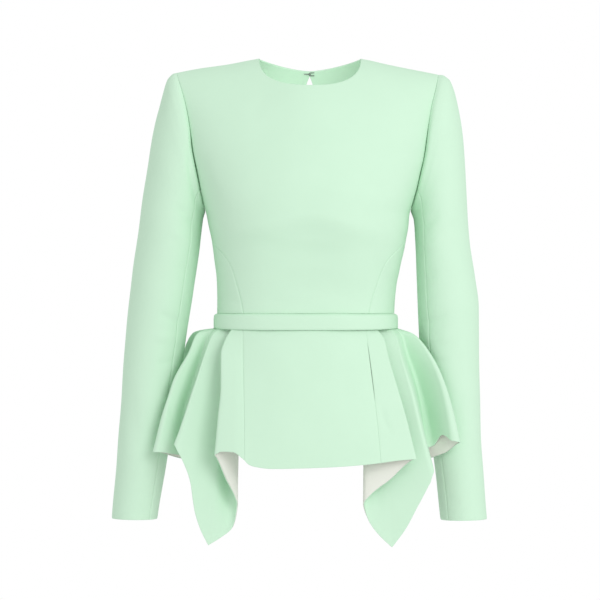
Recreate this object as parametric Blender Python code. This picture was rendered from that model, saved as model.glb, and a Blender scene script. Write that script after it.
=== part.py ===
"""Long-sleeved peplum top worn with no wearer in it.

Millimetres in the tables, metres in the model.  Front faces -Y, +Z is up,
+X is the right-hand side of someone looking at the front.  The origin is the
middle of the neck at the height where the shoulder seams meet the neck edge.
"""
import math

import bpy
import numpy as np

MM = 0.001

# Cloth walls and the spaces left at the seams.
BODICE_WALL = 1.6
SLEEVE_WALL = 1.6
BAND_WALL = 1.6
PEPLUM_WALL = 1.2
LINING_WALL = 1.0
SEAM_HALF = 0.2
LINING_SPACE = 0.3
LINING_SHORT = 1.5

# Body form.
FORM_POWER = 2.4
SHOULDER_Y = 8.0
NECK_MIDDLE = 5.0
NECK_HALF = 70.0
NECK_FRONT_DROP = 41.0
NECK_BACK_DROP = 14.0
NECK_POWER = 2.5
SHOULDER_SLOPE = 0.22
SHOULDER_LEFT = -178.0
SHOULDER_RIGHT = 182.0
ARMHOLE_LOW = -210.0
ARMHOLE_TURN = math.radians(36.0)
BAND_TOP = -352.0
BAND_LOW = -372.5
BAND_SAG = 0.025

# Keyhole at the centre back.
KEYHOLE_TOP = -20.5
KEYHOLE_LOW = -46.0
KEYHOLE_HALF = 5.3

# Hook and eye inside the back neck: x and height of the eye's loop, then x and
# distance from the cloth of the hook.
WIRE_RADIUS = 0.45
FASTENING_OFF = 0.75
FASTENING_Z = -17.2
EYE_PATH = (
    (11.5, -15.2),
    (7.5, -15.2),
    (4.7, -15.4),
    (3.7, -16.2),
    (3.3, -17.2),
    (3.7, -18.2),
    (4.7, -19.0),
    (7.5, -19.2),
    (11.5, -19.2),
)
HOOK_PATH = (
    (-3.5, 0.8),
    (0.6, 0.8),
    (1.9, 1.6),
    (3.0, 2.1),
    (5.2, 2.1),
    (6.2, 1.8),
    (6.3, 1.2),
    (5.7, 0.8),
    (4.9, 0.75),
)

# Front-seam line of the armhole as it shows: height, left x, right x.
ARMHOLE = (
    (-24.0, -178.0, 182.0),
    (-44.0, -171.5, 177.5),
    (-68.0, -165.0, 171.5),
    (-95.0, -160.0, 167.0),
    (-137.0, -154.0, 161.0),
    (-178.0, -146.5, 152.5),
    (-210.0, -139.5, 144.0),
)

# Body below the armhole: height, left x, right x.
TRUNK = (
    (-215.0, -138.0, 142.6),
    (-232.0, -134.6, 141.0),
    (-248.0, -131.0, 138.0),
    (-265.0, -128.4, 134.8),
    (-281.0, -126.6, 131.0),
    (-298.0, -124.4, 127.6),
    (-315.0, -123.2, 124.4),
    (-331.0, -122.8, 122.6),
    (-352.0, -123.2, 121.6),
    (-390.0, -125.0, 123.6),
)

# How far the front and back stand out at each drop below the shoulder line.
DEPTH = (
    (0.0, 0.0, 0.0),
    (6.0, 24.0, 20.0),
    (14.0, 38.0, 32.0),
    (28.0, 54.0, 44.5),
    (50.0, 72.0, 58.0),
    (85.0, 94.0, 74.0),
    (125.0, 111.0, 86.0),
    (165.0, 123.0, 93.0),
    (200.0, 130.0, 95.5),
    (232.0, 128.5, 94.0),
    (262.0, 117.0, 90.0),
    (300.0, 102.5, 84.5),
    (340.0, 92.0, 80.0),
    (420.0, 89.0, 79.0),
)

# Curved side-front seam: height, degrees round from the side seam.
CURVED_SEAM = (
    (-236.0, 0.0),
    (-237.0, 0.6),
    (-245.0, 6.0),
    (-255.5, 14.2),
    (-263.0, 21.8),
    (-270.0, 29.0),
    (-280.0, 35.4),
    (-294.0, 39.6),
    (-312.0, 43.0),
    (-331.0, 46.4),
    (-352.0, 49.4),
)

# Heights of the back-seam rows, from the neck edge down past the keyhole.
BACK_SEAM_ROWS = (
    -14.0, -20.5, -25.0, -30.5, -36.0, -42.0, -46.0, -66.0, -92.0, -122.0, -152.0,
    -182.0, -207.0,
)
SIDE_ROWS_FRONT = (-223.0,)
SIDE_ROWS_BACK = (-226.0, -244.0, -264.0, -286.0, -308.0, -330.0, -352.0)

# Sleeve rings: outer x, outer z, inner x, inner z, middle y, half depth.
SLEEVE_LEFT = (
    (-187.5, -24.0, -139.6, -213.0, 8.0, 51.0),
    (-195.5, -29.0, -140.4, -217.0, 8.0, 54.0),
    (-199.0, -44.0, -141.2, -222.0, 8.0, 55.5),
    (-204.0, -70.0, -142.4, -231.0, 9.0, 56.5),
    (-212.5, -108.0, -144.6, -246.0, 10.0, 57.0),
    (-220.0, -150.0, -147.6, -267.0, 11.0, 56.5),
    (-227.0, -200.0, -151.4, -291.0, 12.0, 55.0),
    (-234.0, -250.0, -156.0, -320.0, 13.0, 53.0),
    (-241.0, -300.0, -161.4, -352.0, 15.0, 51.0),
    (-247.0, -350.0, -166.2, -384.0, 17.0, 49.0),
    (-251.5, -400.0, -171.0, -420.0, 18.0, 47.0),
    (-256.3, -470.0, -180.6, -480.0, 18.0, 44.0),
    (-260.5, -530.0, -189.4, -535.0, 16.0, 41.5),
    (-264.6, -580.0, -197.6, -582.0, 14.0, 39.5),
    (-269.0, -635.0, -206.0, -636.0, 11.0, 37.5),
)
SLEEVE_RIGHT = (
    (191.5, -25.0, 144.6, -213.0, 8.0, 51.0),
    (199.0, -30.0, 145.6, -217.0, 8.0, 54.0),
    (202.5, -44.0, 146.8, -222.0, 8.0, 55.5),
    (206.5, -66.0, 148.0, -231.0, 9.0, 56.5),
    (213.0, -106.0, 149.4, -246.0, 10.0, 57.0),
    (218.8, -150.0, 151.0, -267.0, 11.0, 56.5),
    (222.0, -205.0, 152.2, -291.0, 12.0, 55.0),
    (226.5, -255.0, 153.4, -320.0, 13.0, 53.0),
    (233.5, -302.0, 154.6, -352.0, 15.0, 51.0),
    (239.0, -345.0, 156.4, -384.0, 17.0, 49.0),
    (239.4, -400.0, 159.0, -420.0, 18.0, 47.0),
    (240.6, -470.0, 166.0, -480.0, 18.0, 44.0),
    (242.4, -530.0, 173.8, -535.0, 16.0, 41.5),
    (245.4, -580.0, 179.6, -582.0, 14.0, 39.5),
    (250.0, -636.0, 185.6, -637.0, 11.0, 37.5),
)
SLEEVE_STEPS = 24
SHOULDER_STEPS = 5
NECK_STEPS = 5
SLEEVE_SEAM_STEP = 9

# Waistband profile: share of its height, how far it stands out.
BAND_PROFILE = (
    (0.0, 0.4),
    (0.2, 3.2),
    (0.5, 4.5),
    (0.8, 3.8),
    (1.0, 2.6),
)

# Peplum levels, as shares of the drop from the waist seam to the hem.
LEVELS = (0.0, 0.07, 0.2, 0.45, 0.7, 1.0)

# Folds of the peplum, front to back.  Each row is one fold: its name, the way
# the cloth turns on it, then x and y of the fold's outermost line at each
# level, then the radius of the fold at the waist and at the hem.
FOLDS_LEFT = (
    ("front_edge", 1, (-102.5, -109.0, -115.0, -114.5, -118.0, -123.0),
     (-56.0, -61.0, -68.0, -79.0, -87.0, -94.0), 2.2, 5.0),
    ("inner_fold", -1, (-82.0, -82.5, -84.0, -87.0, -89.0, -92.0),
     (-57.0, -60.0, -64.0, -71.0, -76.0, -80.0), 1.8, 3.5),
    ("second_edge", 1, (-119.0, -128.0, -136.5, -149.5, -162.5, -178.5),
     (-33.0, -42.0, -50.0, -60.0, -66.0, -70.0), 2.2, 5.0),
    ("side_hollow", -1, (-123.0, -132.0, -140.5, -153.0, -163.0, -164.0),
     (-20.0, -26.0, -33.0, -41.0, -46.0, -50.0), 2.5, 6.0),
    ("side_edge", 1, (-127.5, -147.0, -160.0, -182.5, -195.0, -208.0),
     (-6.0, -16.0, -24.0, -34.0, -40.0, -44.0), 2.5, 6.0),
    ("sleeve_hollow", -1, (-127.0, -132.0, -139.0, -149.0, -157.0, -163.0),
     (12.0, 11.0, 10.0, 10.0, 10.0, 10.0), 4.0, 14.0),
    ("rear_edge", 1, (-124.0, -158.0, -172.0, -184.0, -192.0, -198.0),
     (32.0, 44.0, 58.0, 74.0, 84.0, 92.0), 4.0, 16.0),
    ("rear_hollow", -1, (-101.0, -106.0, -112.0, -120.0, -127.0, -132.0),
     (58.0, 62.0, 70.0, 81.0, 89.0, 96.0), 6.0, 20.0),
    ("back_edge", 1, (-78.0, -82.0, -88.0, -96.0, -101.0, -105.0),
     (76.0, 85.0, 96.0, 113.0, 126.0, 136.0), 6.0, 24.0),
    ("back_hollow", -1, (-42.0, -43.0, -45.0, -47.0, -49.0, -50.0),
     (83.5, 88.0, 94.0, 105.0, 113.0, 120.0), 8.0, 24.0),
)
FOLDS_RIGHT = (
    ("front_edge", 1, (97.0, 106.0, 111.5, 123.5, 136.0, 149.0),
     (-56.0, -61.0, -68.0, -79.0, -87.0, -94.0), 2.2, 5.0),
    ("inner_fold", -1, (79.0, 78.5, 78.0, 77.0, 77.0, 77.0),
     (-57.0, -60.0, -64.0, -71.0, -76.0, -80.0), 1.8, 3.5),
    ("second_edge", 1, (117.0, 123.5, 130.5, 145.0, 157.0, 173.5),
     (-33.0, -42.0, -50.0, -60.0, -66.0, -70.0), 2.2, 5.0),
    ("side_hollow", -1, (121.5, 130.0, 137.0, 153.0, 163.0, 168.0),
     (-20.0, -27.0, -36.0, -46.0, -51.0, -54.0), 2.5, 5.0),
    ("side_edge", 1, (126.0, 152.0, 168.0, 188.0, 200.0, 210.0),
     (-6.0, -18.0, -28.0, -40.0, -45.0, -48.0), 2.5, 7.0),
    ("sleeve_hollow", -1, (125.5, 130.0, 137.0, 146.0, 151.0, 157.0),
     (12.0, 9.0, 6.0, 4.0, 4.0, 6.0), 4.0, 12.0),
    ("rear_edge", 1, (122.0, 146.0, 160.0, 175.0, 184.0, 190.0),
     (32.0, 44.0, 58.0, 74.0, 84.0, 92.0), 4.0, 16.0),
    ("rear_hollow", -1, (99.0, 104.0, 110.0, 118.0, 125.0, 130.0),
     (58.0, 62.0, 70.0, 81.0, 89.0, 96.0), 6.0, 20.0),
    ("back_edge", 1, (76.0, 80.0, 86.0, 94.0, 99.0, 103.0),
     (76.0, 85.0, 96.0, 113.0, 126.0, 136.0), 6.0, 24.0),
    ("back_hollow", -1, (40.0, 41.0, 43.0, 45.0, 47.0, 48.0),
     (83.5, 88.0, 94.0, 105.0, 113.0, 120.0), 8.0, 24.0),
)

# How far back the middle of the peplum's back stands at each level.
BACK_MIDDLE = (88.6, 92.5, 99.0, 111.0, 120.0, 128.0)

# Front panel of the peplum at each level: left seam x, right seam x, y at the
# seams, y in the middle.
PEPLUM_FRONT = (
    (-86.5, 82.0, -67.0, -84.6),
    (-86.4, 82.6, -70.0, -87.0),
    (-86.0, 85.5, -76.0, -92.0),
    (-85.0, 91.0, -88.0, -101.0),
    (-84.0, 96.0, -98.0, -109.0),
    (-83.5, 100.5, -108.0, -116.0),
)

# Hem heights: fold number along the cascade, height.
HEM_LEFT = (
    (0.0, -548.0),
    (0.4, -538.5),
    (0.75, -538.0),
    (1.0, -543.0),
    (1.5, -576.0),
    (2.0, -614.0),
    (2.12, -645.0),
    (2.3, -657.0),
    (2.5, -664.0),
    (2.6, -643.0),
    (2.69, -615.0),
    (2.74, -583.0),
    (2.82, -559.0),
    (2.91, -541.0),
    (3.0, -530.5),
    (4.0, -546.0),
    (5.0, -541.0),
    (6.0, -553.0),
    (7.0, -548.0),
    (8.0, -536.0),
    (9.0, -552.0),
    (10.0, -540.0),
    (11.0, -548.0),
)
HEM_RIGHT = (
    (0.0, -551.0),
    (0.5, -549.0),
    (1.0, -548.5),
    (1.5, -577.0),
    (2.0, -611.0),
    (2.12, -629.0),
    (2.3, -650.0),
    (2.5, -666.0),
    (2.65, -640.0),
    (2.8, -606.0),
    (3.0, -569.0),
    (4.0, -536.0),
    (4.5, -518.0),
    (5.0, -527.0),
    (5.4, -544.0),
    (6.0, -553.0),
    (7.0, -548.0),
    (8.0, -536.0),
    (9.0, -552.0),
    (10.0, -540.0),
    (11.0, -548.0),
)
HEM_FRONT = (
    (-84.0, -548.0),
    (-74.0, -554.0),
    (-62.0, -557.5),
    (-46.0, -558.4),
    (0.0, -557.2),
    (40.0, -555.6),
    (80.0, -552.4),
    (101.0, -551.0),
)
# Where the pointed tip sits between the inner fold and the second edge.
TIP_LEFT = 0.45
TIP_RIGHT = 0.39

# Straight runs between folds, and turns on folds, in steps.
RUN_STEPS = (3, 4, 8, 2, 4, 4, 3, 2, 2, 2, 3)
TURN_STEPS = (4, 4, 4, 3, 4, 4, 3, 2, 3, 2)
SIDE_FOLD = 6
DROP_ROWS = (0.0, 0.05, 0.13, 0.25, 0.4, 0.56, 0.72, 0.87, 1.0)
LINING_FIRST_ROW = 2

MINT = (0.64, 0.87, 0.68)
CREAM = (0.83, 0.84, 0.78)
STEEL = (0.16, 0.16, 0.17)


def curve(at, xs, ys):
    """Smooth line through a table that never overshoots its rows."""
    xs = np.asarray(xs, float)
    ys = np.asarray(ys, float)
    if xs[0] > xs[-1]:
        xs = xs[::-1]
        ys = ys[::-1]
    at = np.clip(np.asarray(at, float), xs[0], xs[-1])
    h = np.diff(xs)
    d = np.diff(ys) / h
    m = np.zeros(len(xs))
    m[0] = d[0]
    m[-1] = d[-1]
    for k in range(1, len(xs) - 1):
        if d[k - 1] * d[k] > 0:
            a = 2 * h[k] + h[k - 1]
            b = h[k] + 2 * h[k - 1]
            m[k] = (a + b) / (a / d[k - 1] + b / d[k])
    k = np.clip(np.searchsorted(xs, at, side="right") - 1, 0, len(xs) - 2)
    t = (at - xs[k]) / h[k]
    t2 = t * t
    t3 = t2 * t
    return ((2 * t3 - 3 * t2 + 1) * ys[k] + (t3 - 2 * t2 + t) * h[k] * m[k]
            + (3 * t2 - 2 * t3) * ys[k + 1] + (t3 - t2) * h[k] * m[k + 1])


def column(table, number):
    return [row[number] for row in table]


def shoulder_height(x):
    return -SHOULDER_SLOPE * (abs(x - NECK_MIDDLE) - NECK_HALF)


def armhole_turn(z):
    """Angle from the side at which the armhole lies at a height."""
    top = ARMHOLE[0][0]
    share = min(max((top - z) / (top - ARMHOLE_LOW), 0.0), 1.0)
    along = math.acos(1 - 2 * share) / math.pi
    return ARMHOLE_TURN * math.cos(math.pi * along / 2)


def form_width(z, left):
    """Half width of the body form on one side at a height."""
    number = 1 if left else 2
    if z >= ARMHOLE_LOW:
        x = abs(float(curve(z, column(ARMHOLE, 0), column(ARMHOLE, number))))
        return x / math.cos(armhole_turn(z)) ** (2 / FORM_POWER)
    heights = [ARMHOLE_LOW] + column(TRUNK, 0)
    widths = [ARMHOLE[-1][number]] + column(TRUNK, number)
    return abs(float(curve(z, heights, widths)))


def form_depth(drop, front):
    roots = [math.sqrt(row[0]) for row in DEPTH]
    return float(curve(math.sqrt(max(drop, 0.0)), roots, column(DEPTH, 1 if front else 2)))


def body(turn, z):
    """Point of the body form; turn runs right side, front, left side, back."""
    c = math.cos(turn)
    s = math.sin(turn)
    x = form_width(z, c < 0) * math.copysign(abs(c) ** (2 / FORM_POWER), c)
    depth = form_depth(shoulder_height(x) - z, s >= 0)
    y = SHOULDER_Y - depth * math.copysign(abs(s) ** (2 / FORM_POWER), s)
    return np.array((x, y, z))


def body_normal(turn, z):
    a = 0.004
    side = body(turn + a, z) - body(turn - a, z)
    down = body(turn, z - 0.8) - body(turn, z + 0.8)
    n = np.cross(side, down)
    return n / np.linalg.norm(n)


def turn_of(x, z, front):
    share = min(abs(x) / form_width(z, x < 0), 1.0)
    a = math.acos(share ** (FORM_POWER / 2))
    if front:
        return a if x >= 0 else math.pi - a
    return math.pi + a if x < 0 else 2 * math.pi - a


def blend(top, low, start, end, drop):
    """Fill a panel from its four edges in the form's own coordinates."""
    rows = len(start)
    cols = len(top)
    across = np.linspace(0, 1, cols)
    grid = np.zeros((rows, cols, 2))
    for i in range(rows):
        t = drop[i]
        for j in range(cols):
            s = across[j]
            flat = ((1 - t) * top[j] + t * low[j] + (1 - s) * start[i] + s * end[i])
            corner = ((1 - t) * ((1 - s) * top[0] + s * top[-1])
                      + t * ((1 - s) * low[0] + s * low[-1]))
            grid[i, j] = flat - corner
    return grid


def lift(grid):
    """Points and directions of a panel from the form's coordinates."""
    points = np.zeros(grid.shape[:2] + (3,))
    normals = np.zeros_like(points)
    for i in range(grid.shape[0]):
        for j in range(grid.shape[1]):
            turn, z = grid[i, j]
            points[i, j] = body(turn, z)
            normals[i, j] = body_normal(turn, z)
    return points, normals


def grid_normals(points, closed=False):
    if closed:
        wide = np.concatenate([points[:, -1:], points, points[:, :1]], axis=1)
        du = wide[:, 2:] - wide[:, :-2]
    else:
        du = np.gradient(points, axis=1)
    dv = np.gradient(points, axis=0)
    n = np.cross(du, dv)
    return n / np.maximum(np.linalg.norm(n, axis=2, keepdims=True), 1e-9)


def pull_in(points, first=0.0, last=0.0, top=0.0, low=0.0):
    """Draw the named edges back from the seam lines."""
    p = points.copy()
    for here, there, much in ((0, 1, first), (-1, -2, last)):
        way = p[:, there] - p[:, here]
        long = np.linalg.norm(way, axis=1, keepdims=True)
        p[:, here] += way / long * np.minimum(much, 0.45 * long)
    for here, there, much in ((0, 1, top), (-1, -2, low)):
        way = p[there] - p[here]
        long = np.linalg.norm(way, axis=1, keepdims=True)
        p[here] += way / long * np.minimum(much, 0.45 * long)
    return p


MATERIALS = {}


def material(name, colour, roughness, metallic):
    if name not in MATERIALS:
        mat = bpy.data.materials.new(name)
        mat.use_nodes = True
        shader = mat.node_tree.nodes["Principled BSDF"]
        shader.inputs["Base Color"].default_value = colour + (1.0,)
        shader.inputs["Roughness"].default_value = roughness
        shader.inputs["Metallic"].default_value = metallic
        MATERIALS[name] = mat
    return MATERIALS[name]


def add_mesh(name, points, faces, look):
    mesh = bpy.data.meshes.new(name)
    mesh.from_pydata([tuple(float(c) * MM for c in p) for p in points], [], faces)
    mesh.materials.append(material(*look))
    for face in mesh.polygons:
        face.use_smooth = True
    mesh.update()
    piece = bpy.data.objects.new(name, mesh)
    bpy.context.scene.collection.objects.link(piece)
    return piece


def wall(name, points, normals, thick, look):
    """Closed sheet of cloth: the outside is given, the inside lies behind it."""
    rows, cols = points.shape[:2]
    inside = points - normals * thick
    spots = np.concatenate([points.reshape(-1, 3), inside.reshape(-1, 3)])
    back = rows * cols
    faces = []
    for i in range(rows - 1):
        for j in range(cols - 1):
            a = i * cols + j
            b = a + 1
            c = a + cols + 1
            d = a + cols
            faces += [(a, b, c), (a, c, d)]
            faces += [(back + c, back + b, back + a), (back + d, back + c, back + a)]
    for j in range(cols - 1):
        a = j
        faces.append((a, back + a, back + a + 1, a + 1))
        b = (rows - 1) * cols + j
        faces.append((b + 1, back + b + 1, back + b, b))
    for i in range(rows - 1):
        a = i * cols
        faces.append((a + cols, back + a + cols, back + a, a))
        b = a + cols - 1
        faces.append((b, back + b, back + b + cols, b + cols))
    return add_mesh(name, spots, faces, look)


def armhole_rows(left, front):
    """Armhole from the shoulder down to the underarm, in the form's coordinates."""
    x_top = SHOULDER_LEFT if left else SHOULDER_RIGHT
    z_top = shoulder_height(x_top)
    half = SLEEVE_STEPS // 2
    rows = []
    for k in range(half + 1):
        z = z_top + (ARMHOLE_LOW - z_top) * (1 - math.cos(math.pi * k / half)) / 2
        a = 0.0 if k == half else armhole_turn(z)
        if k == 0:
            a = math.acos((abs(x_top) / form_width(z, left)) ** (FORM_POWER / 2))
        if front:
            turn = math.pi - a if left else a
        else:
            turn = math.pi + a if left else 2 * math.pi - a
        rows.append(np.array((turn, z)))
    return rows


def shoulder_line(start, end, steps, front):
    spots = []
    for k in range(steps + 1):
        x = start + (end - start) * k / steps
        z = shoulder_height(x)
        spots.append(np.array((turn_of(x, z, front), z)))
    return spots


def neck_line(drop, front, start, end, steps):
    """Neck edge between two angles of its own oval, 0 right and 1 left."""
    spots = []
    for k in range(steps + 1):
        a = math.pi * (start + (end - start) * k / steps)
        c = math.cos(a)
        x = NECK_MIDDLE + NECK_HALF * math.copysign(abs(c) ** (2 / NECK_POWER), c)
        z = -drop * abs(math.sin(a)) ** (2 / NECK_POWER)
        spots.append(np.array((turn_of(x, z, front), z)))
    return spots


def curved_seam(left):
    spots = []
    for z, away in CURVED_SEAM:
        a = math.radians(away)
        spots.append(np.array((math.pi - a if left else a, z)))
    return spots


def front_edge(left):
    rows = armhole_rows(left, True)
    side = math.pi if left else 0.0
    rows += [np.array((side, z)) for z in SIDE_ROWS_FRONT]
    return rows + curved_seam(left)


def level_edge(first, last, steps):
    return [first + (last - first) * k / steps for k in range(steps + 1)]


def seam_top(normals, picks):
    """Keep the shoulder seam's wall upright so that front and back meet squarely."""
    for j in picks:
        n = normals[0, j].copy()
        n[1] = 0.0
        normals[0, j] = n / np.linalg.norm(n)


def build_bodice(cloth):
    right = front_edge(False)
    left = front_edge(True)
    top = shoulder_line(SHOULDER_RIGHT, NECK_MIDDLE + NECK_HALF, SHOULDER_STEPS, True)[:-1]
    top += neck_line(NECK_FRONT_DROP, True, 0.0, 1.0, 2 * NECK_STEPS)
    top += shoulder_line(NECK_MIDDLE - NECK_HALF, SHOULDER_LEFT, SHOULDER_STEPS, True)[1:]
    low = level_edge(right[-1], left[-1], len(top) - 1)
    drop = [(left[0][1] - p[1]) / (left[0][1] - left[-1][1]) for p in left]
    points, normals = lift(blend(top, low, right, left, drop))
    picks = list(range(SHOULDER_STEPS + 1)) + list(range(-SHOULDER_STEPS - 1, 0))
    seam_top(normals, picks)
    points = pull_in(points, SEAM_HALF, SEAM_HALF, 0.0, SEAM_HALF)
    points[0, picks, 1] -= SEAM_HALF
    wall("bodice_front", points, normals, BODICE_WALL, cloth)

    for left_side in (True, False):
        start = curved_seam(left_side)[1:]
        side = math.pi if left_side else 0.0
        end = [np.array((side, p[1])) for p in start]
        if not left_side:
            start, end = end, start
        grid = np.array([level_edge(a, b, 4) for a, b in zip(start, end)])
        points, normals = lift(grid)
        points = pull_in(points, SEAM_HALF, SEAM_HALF, 0.0, SEAM_HALF)
        wall("side_front_l" if left_side else "side_front_r", points, normals,
             BODICE_WALL, cloth)


def keyhole_half(z):
    if z >= KEYHOLE_TOP or z <= KEYHOLE_LOW:
        return 0.0
    q = (KEYHOLE_TOP - z) / (KEYHOLE_TOP - KEYHOLE_LOW)
    return KEYHOLE_HALF / 0.370 * q ** 1.1 * (1 - q) ** 0.5


def back_seam_x(z):
    return NECK_MIDDLE * (BAND_TOP - z) / BAND_TOP


def build_back(cloth):
    for left in (True, False):
        side = math.pi if left else 2 * math.pi
        outer = armhole_rows(left, False)
        outer += [np.array((side, z)) for z in SIDE_ROWS_BACK]
        middle = []
        for z in BACK_SEAM_ROWS + SIDE_ROWS_BACK:
            z = min(z, -NECK_BACK_DROP)
            away = max(keyhole_half(z), SEAM_HALF)
            x = back_seam_x(z) + (-away if left else away)
            middle.append(np.array((turn_of(x, z, False), z)))
        neck = neck_line(NECK_BACK_DROP, False, 1.0 if left else 0.0, 0.5, NECK_STEPS)
        neck[-1] = middle[0]
        shoulder = shoulder_line(SHOULDER_LEFT if left else SHOULDER_RIGHT,
                                 NECK_MIDDLE + (-NECK_HALF if left else NECK_HALF),
                                 SHOULDER_STEPS, False)
        top = shoulder[:-1] + neck
        if left:
            start, end = outer, middle
        else:
            start, end = middle, outer
            top = top[::-1]
        low = level_edge(start[-1], end[-1], len(top) - 1)
        drop = [(outer[0][1] - p[1]) / (outer[0][1] - outer[-1][1]) for p in outer]
        points, normals = lift(blend(top, low, start, end, drop))
        picks = list(range(SHOULDER_STEPS + 1) if left else range(-SHOULDER_STEPS - 1, 0))
        seam_top(normals, picks)
        points[0, picks, 1] += SEAM_HALF
        points = pull_in(points, SEAM_HALF if left else 0.0, 0.0 if left else SEAM_HALF,
                         0.0, SEAM_HALF)
        wall("back_l" if left else "back_r", points, normals, BODICE_WALL, cloth)


def sleeve_points(left):
    """Rings of one sleeve from the armhole to the wrist, clockwise from above."""
    table = SLEEVE_LEFT if left else SLEEVE_RIGHT
    half = SLEEVE_STEPS // 2
    front = [body(*p) for p in armhole_rows(left, True)]
    back = [body(*p) for p in armhole_rows(left, False)]
    hole = []
    for k in range(SLEEVE_STEPS):
        hole.append(front[k] if k <= half else back[SLEEVE_STEPS - k])
    outer = front[0]
    inner = front[half]
    deep = (back[half // 2][1] - front[half // 2][1]) / 2
    first = (outer[0], outer[2], inner[0], inner[2], SHOULDER_Y, deep)
    rings = []
    for i, (ox, oz, ix, iz, my, hd) in enumerate((first,) + table):
        fade = max(0.0, 1.0 - i / 5.0) ** 1.5
        ring = []
        for k in range(SLEEVE_STEPS):
            a = 2 * math.pi * k / SLEEVE_STEPS
            c = math.cos(a)
            s = math.sin(a)
            p = np.array(((ox + ix) / 2 + c * (ox - ix) / 2, my - s * hd,
                          (oz + iz) / 2 + c * (oz - iz) / 2))
            q = np.array(((outer[0] + inner[0]) / 2 + c * (outer[0] - inner[0]) / 2,
                          SHOULDER_Y - s * deep,
                          (outer[2] + inner[2]) / 2 + c * (outer[2] - inner[2]) / 2))
            ring.append(p + (hole[k] - q) * fade)
        rings.append(ring)
    points = np.array(rings)
    if left:
        points = points[:, ::-1]
    return points


def build_sleeves(cloth):
    for left in (True, False):
        points = sleeve_points(left)
        normals = grid_normals(points, closed=True)
        count = SLEEVE_STEPS
        seam = SLEEVE_SEAM_STEP
        if left:
            outer_step = count - 1
            top_first = outer_step - seam
        else:
            outer_step = 0
            top_first = -seam
        top_cols = [(top_first + k) % count for k in range(2 * seam + 1)]
        under_cols = [(top_first + 2 * seam + k) % count for k in range(count - 2 * seam + 1)]
        for word, cols in (("top", top_cols), ("under", under_cols)):
            part = pull_in(points[:, cols], SEAM_HALF, SEAM_HALF, SEAM_HALF, 0.0)
            name = word + ("_sleeve_l" if left else "_sleeve_r")
            wall(name, part, normals[:, cols], SLEEVE_WALL, cloth)


def waist_ring(turn, out):
    """Point of the waist at the band, moved out by some distance."""
    p = body(turn, BAND_TOP)
    n = body_normal(turn, BAND_TOP)
    n[2] = 0.0
    n = n / np.linalg.norm(n)
    return p + n * out


def band_low(y):
    return BAND_LOW + BAND_SAG * min(y, 0.0)


def build_band(cloth):
    steps = 56
    start = 0.0
    rows = []
    for share, out in BAND_PROFILE:
        ring = []
        for k in range(steps + 1):
            p = waist_ring(start + 2 * math.pi * k / steps, out)
            p[2] = BAND_TOP - 0.2 + (band_low(p[1]) - BAND_TOP + 0.4) * share
            ring.append(p)
        rows.append(ring)
    points = np.array(rows)
    normals = grid_normals(points[:, :-1], closed=True)
    normals = np.concatenate([normals, normals[:, :1]], axis=1)
    cuts = (("waistband_front", 0, 28), ("waistband_back_l", 28, 42),
            ("waistband_back_r", 42, 56))
    for name, a, b in cuts:
        part = pull_in(points[:, a:b + 1], SEAM_HALF, SEAM_HALF, 0.0, 0.0)
        wall(name, part, normals[:, a:b + 1], BAND_WALL, cloth)


def tangent(c1, r1, s1, c2, r2, s2):
    """Straight run from one round fold to the next; s is the way each turns."""
    gap = c2 - c1
    long = math.hypot(gap[0], gap[1])
    base = math.atan2(gap[1], gap[0])
    lean = math.asin(max(-1.0, min(1.0, (s1 * r1 - s2 * r2) / long)))
    a = base + lean
    n = np.array((math.sin(a), -math.cos(a)))
    return c1 + s1 * r1 * n, c2 + s2 * r2 * n


def fold_line(folds, level, start, end, mirror):
    """Cloth laid round its folds at one level, seen from above."""
    share = LEVELS[level]
    centres = [np.array(start)]
    radii = [0.0]
    ways = [1.0]
    for name, way, xs, ys, r_top, r_low in folds:
        r = r_top + (r_low - r_top) * share
        x = xs[level]
        if mirror:
            x = -x
        centres.append(np.array((x + way * r, ys[level])))
        radii.append(r)
        ways.append(-float(way))
    centres.append(np.array(end))
    radii.append(0.0)
    ways.append(1.0)
    runs = []
    for i in range(len(centres) - 1):
        runs.append(tangent(centres[i], radii[i], ways[i],
                            centres[i + 1], radii[i + 1], ways[i + 1]))
    spots = []
    marks = []
    for i, (a, b) in enumerate(runs):
        steps = RUN_STEPS[i]
        for k in range(steps):
            f = k / steps
            if i == 2:
                tip = TIP_RIGHT if mirror else TIP_LEFT
                f = 2 * f * tip if f <= 0.5 else tip + (2 * f - 1) * (1 - tip)
            spots.append(a + (b - a) * f)
            marks.append(i + 0.08 + 0.84 * k / steps if i else k / steps * 0.92)
        if i == len(runs) - 1:
            spots.append(b)
            marks.append(float(i + 1))
            break
        c = centres[i + 1]
        nxt = runs[i + 1][0]
        a0 = math.atan2(b[1] - c[1], b[0] - c[0])
        a1 = math.atan2(nxt[1] - c[1], nxt[0] - c[0])
        way = ways[i + 1]
        sweep = (a1 - a0) * way % (2 * math.pi)
        steps = TURN_STEPS[i]
        before = (b - a) / np.linalg.norm(b - a)
        after = runs[i + 1][1] - nxt
        after = after / np.linalg.norm(after)
        for k in range(steps):
            a2 = a0 + way * sweep * k / steps
            spot = c + radii[i + 1] * np.array((math.cos(a2), math.sin(a2)))
            if sweep > 1.5 * math.pi:
                share = k / steps
                spot = (1 - share) * (b - 2.5 * before) + share * (nxt + 2.5 * after)
            spots.append(spot)
            marks.append(i + 1 - 0.08 + 0.16 * k / steps)
    out = np.array(spots)
    if mirror:
        out[:, 0] = -out[:, 0]
    return out, marks


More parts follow.
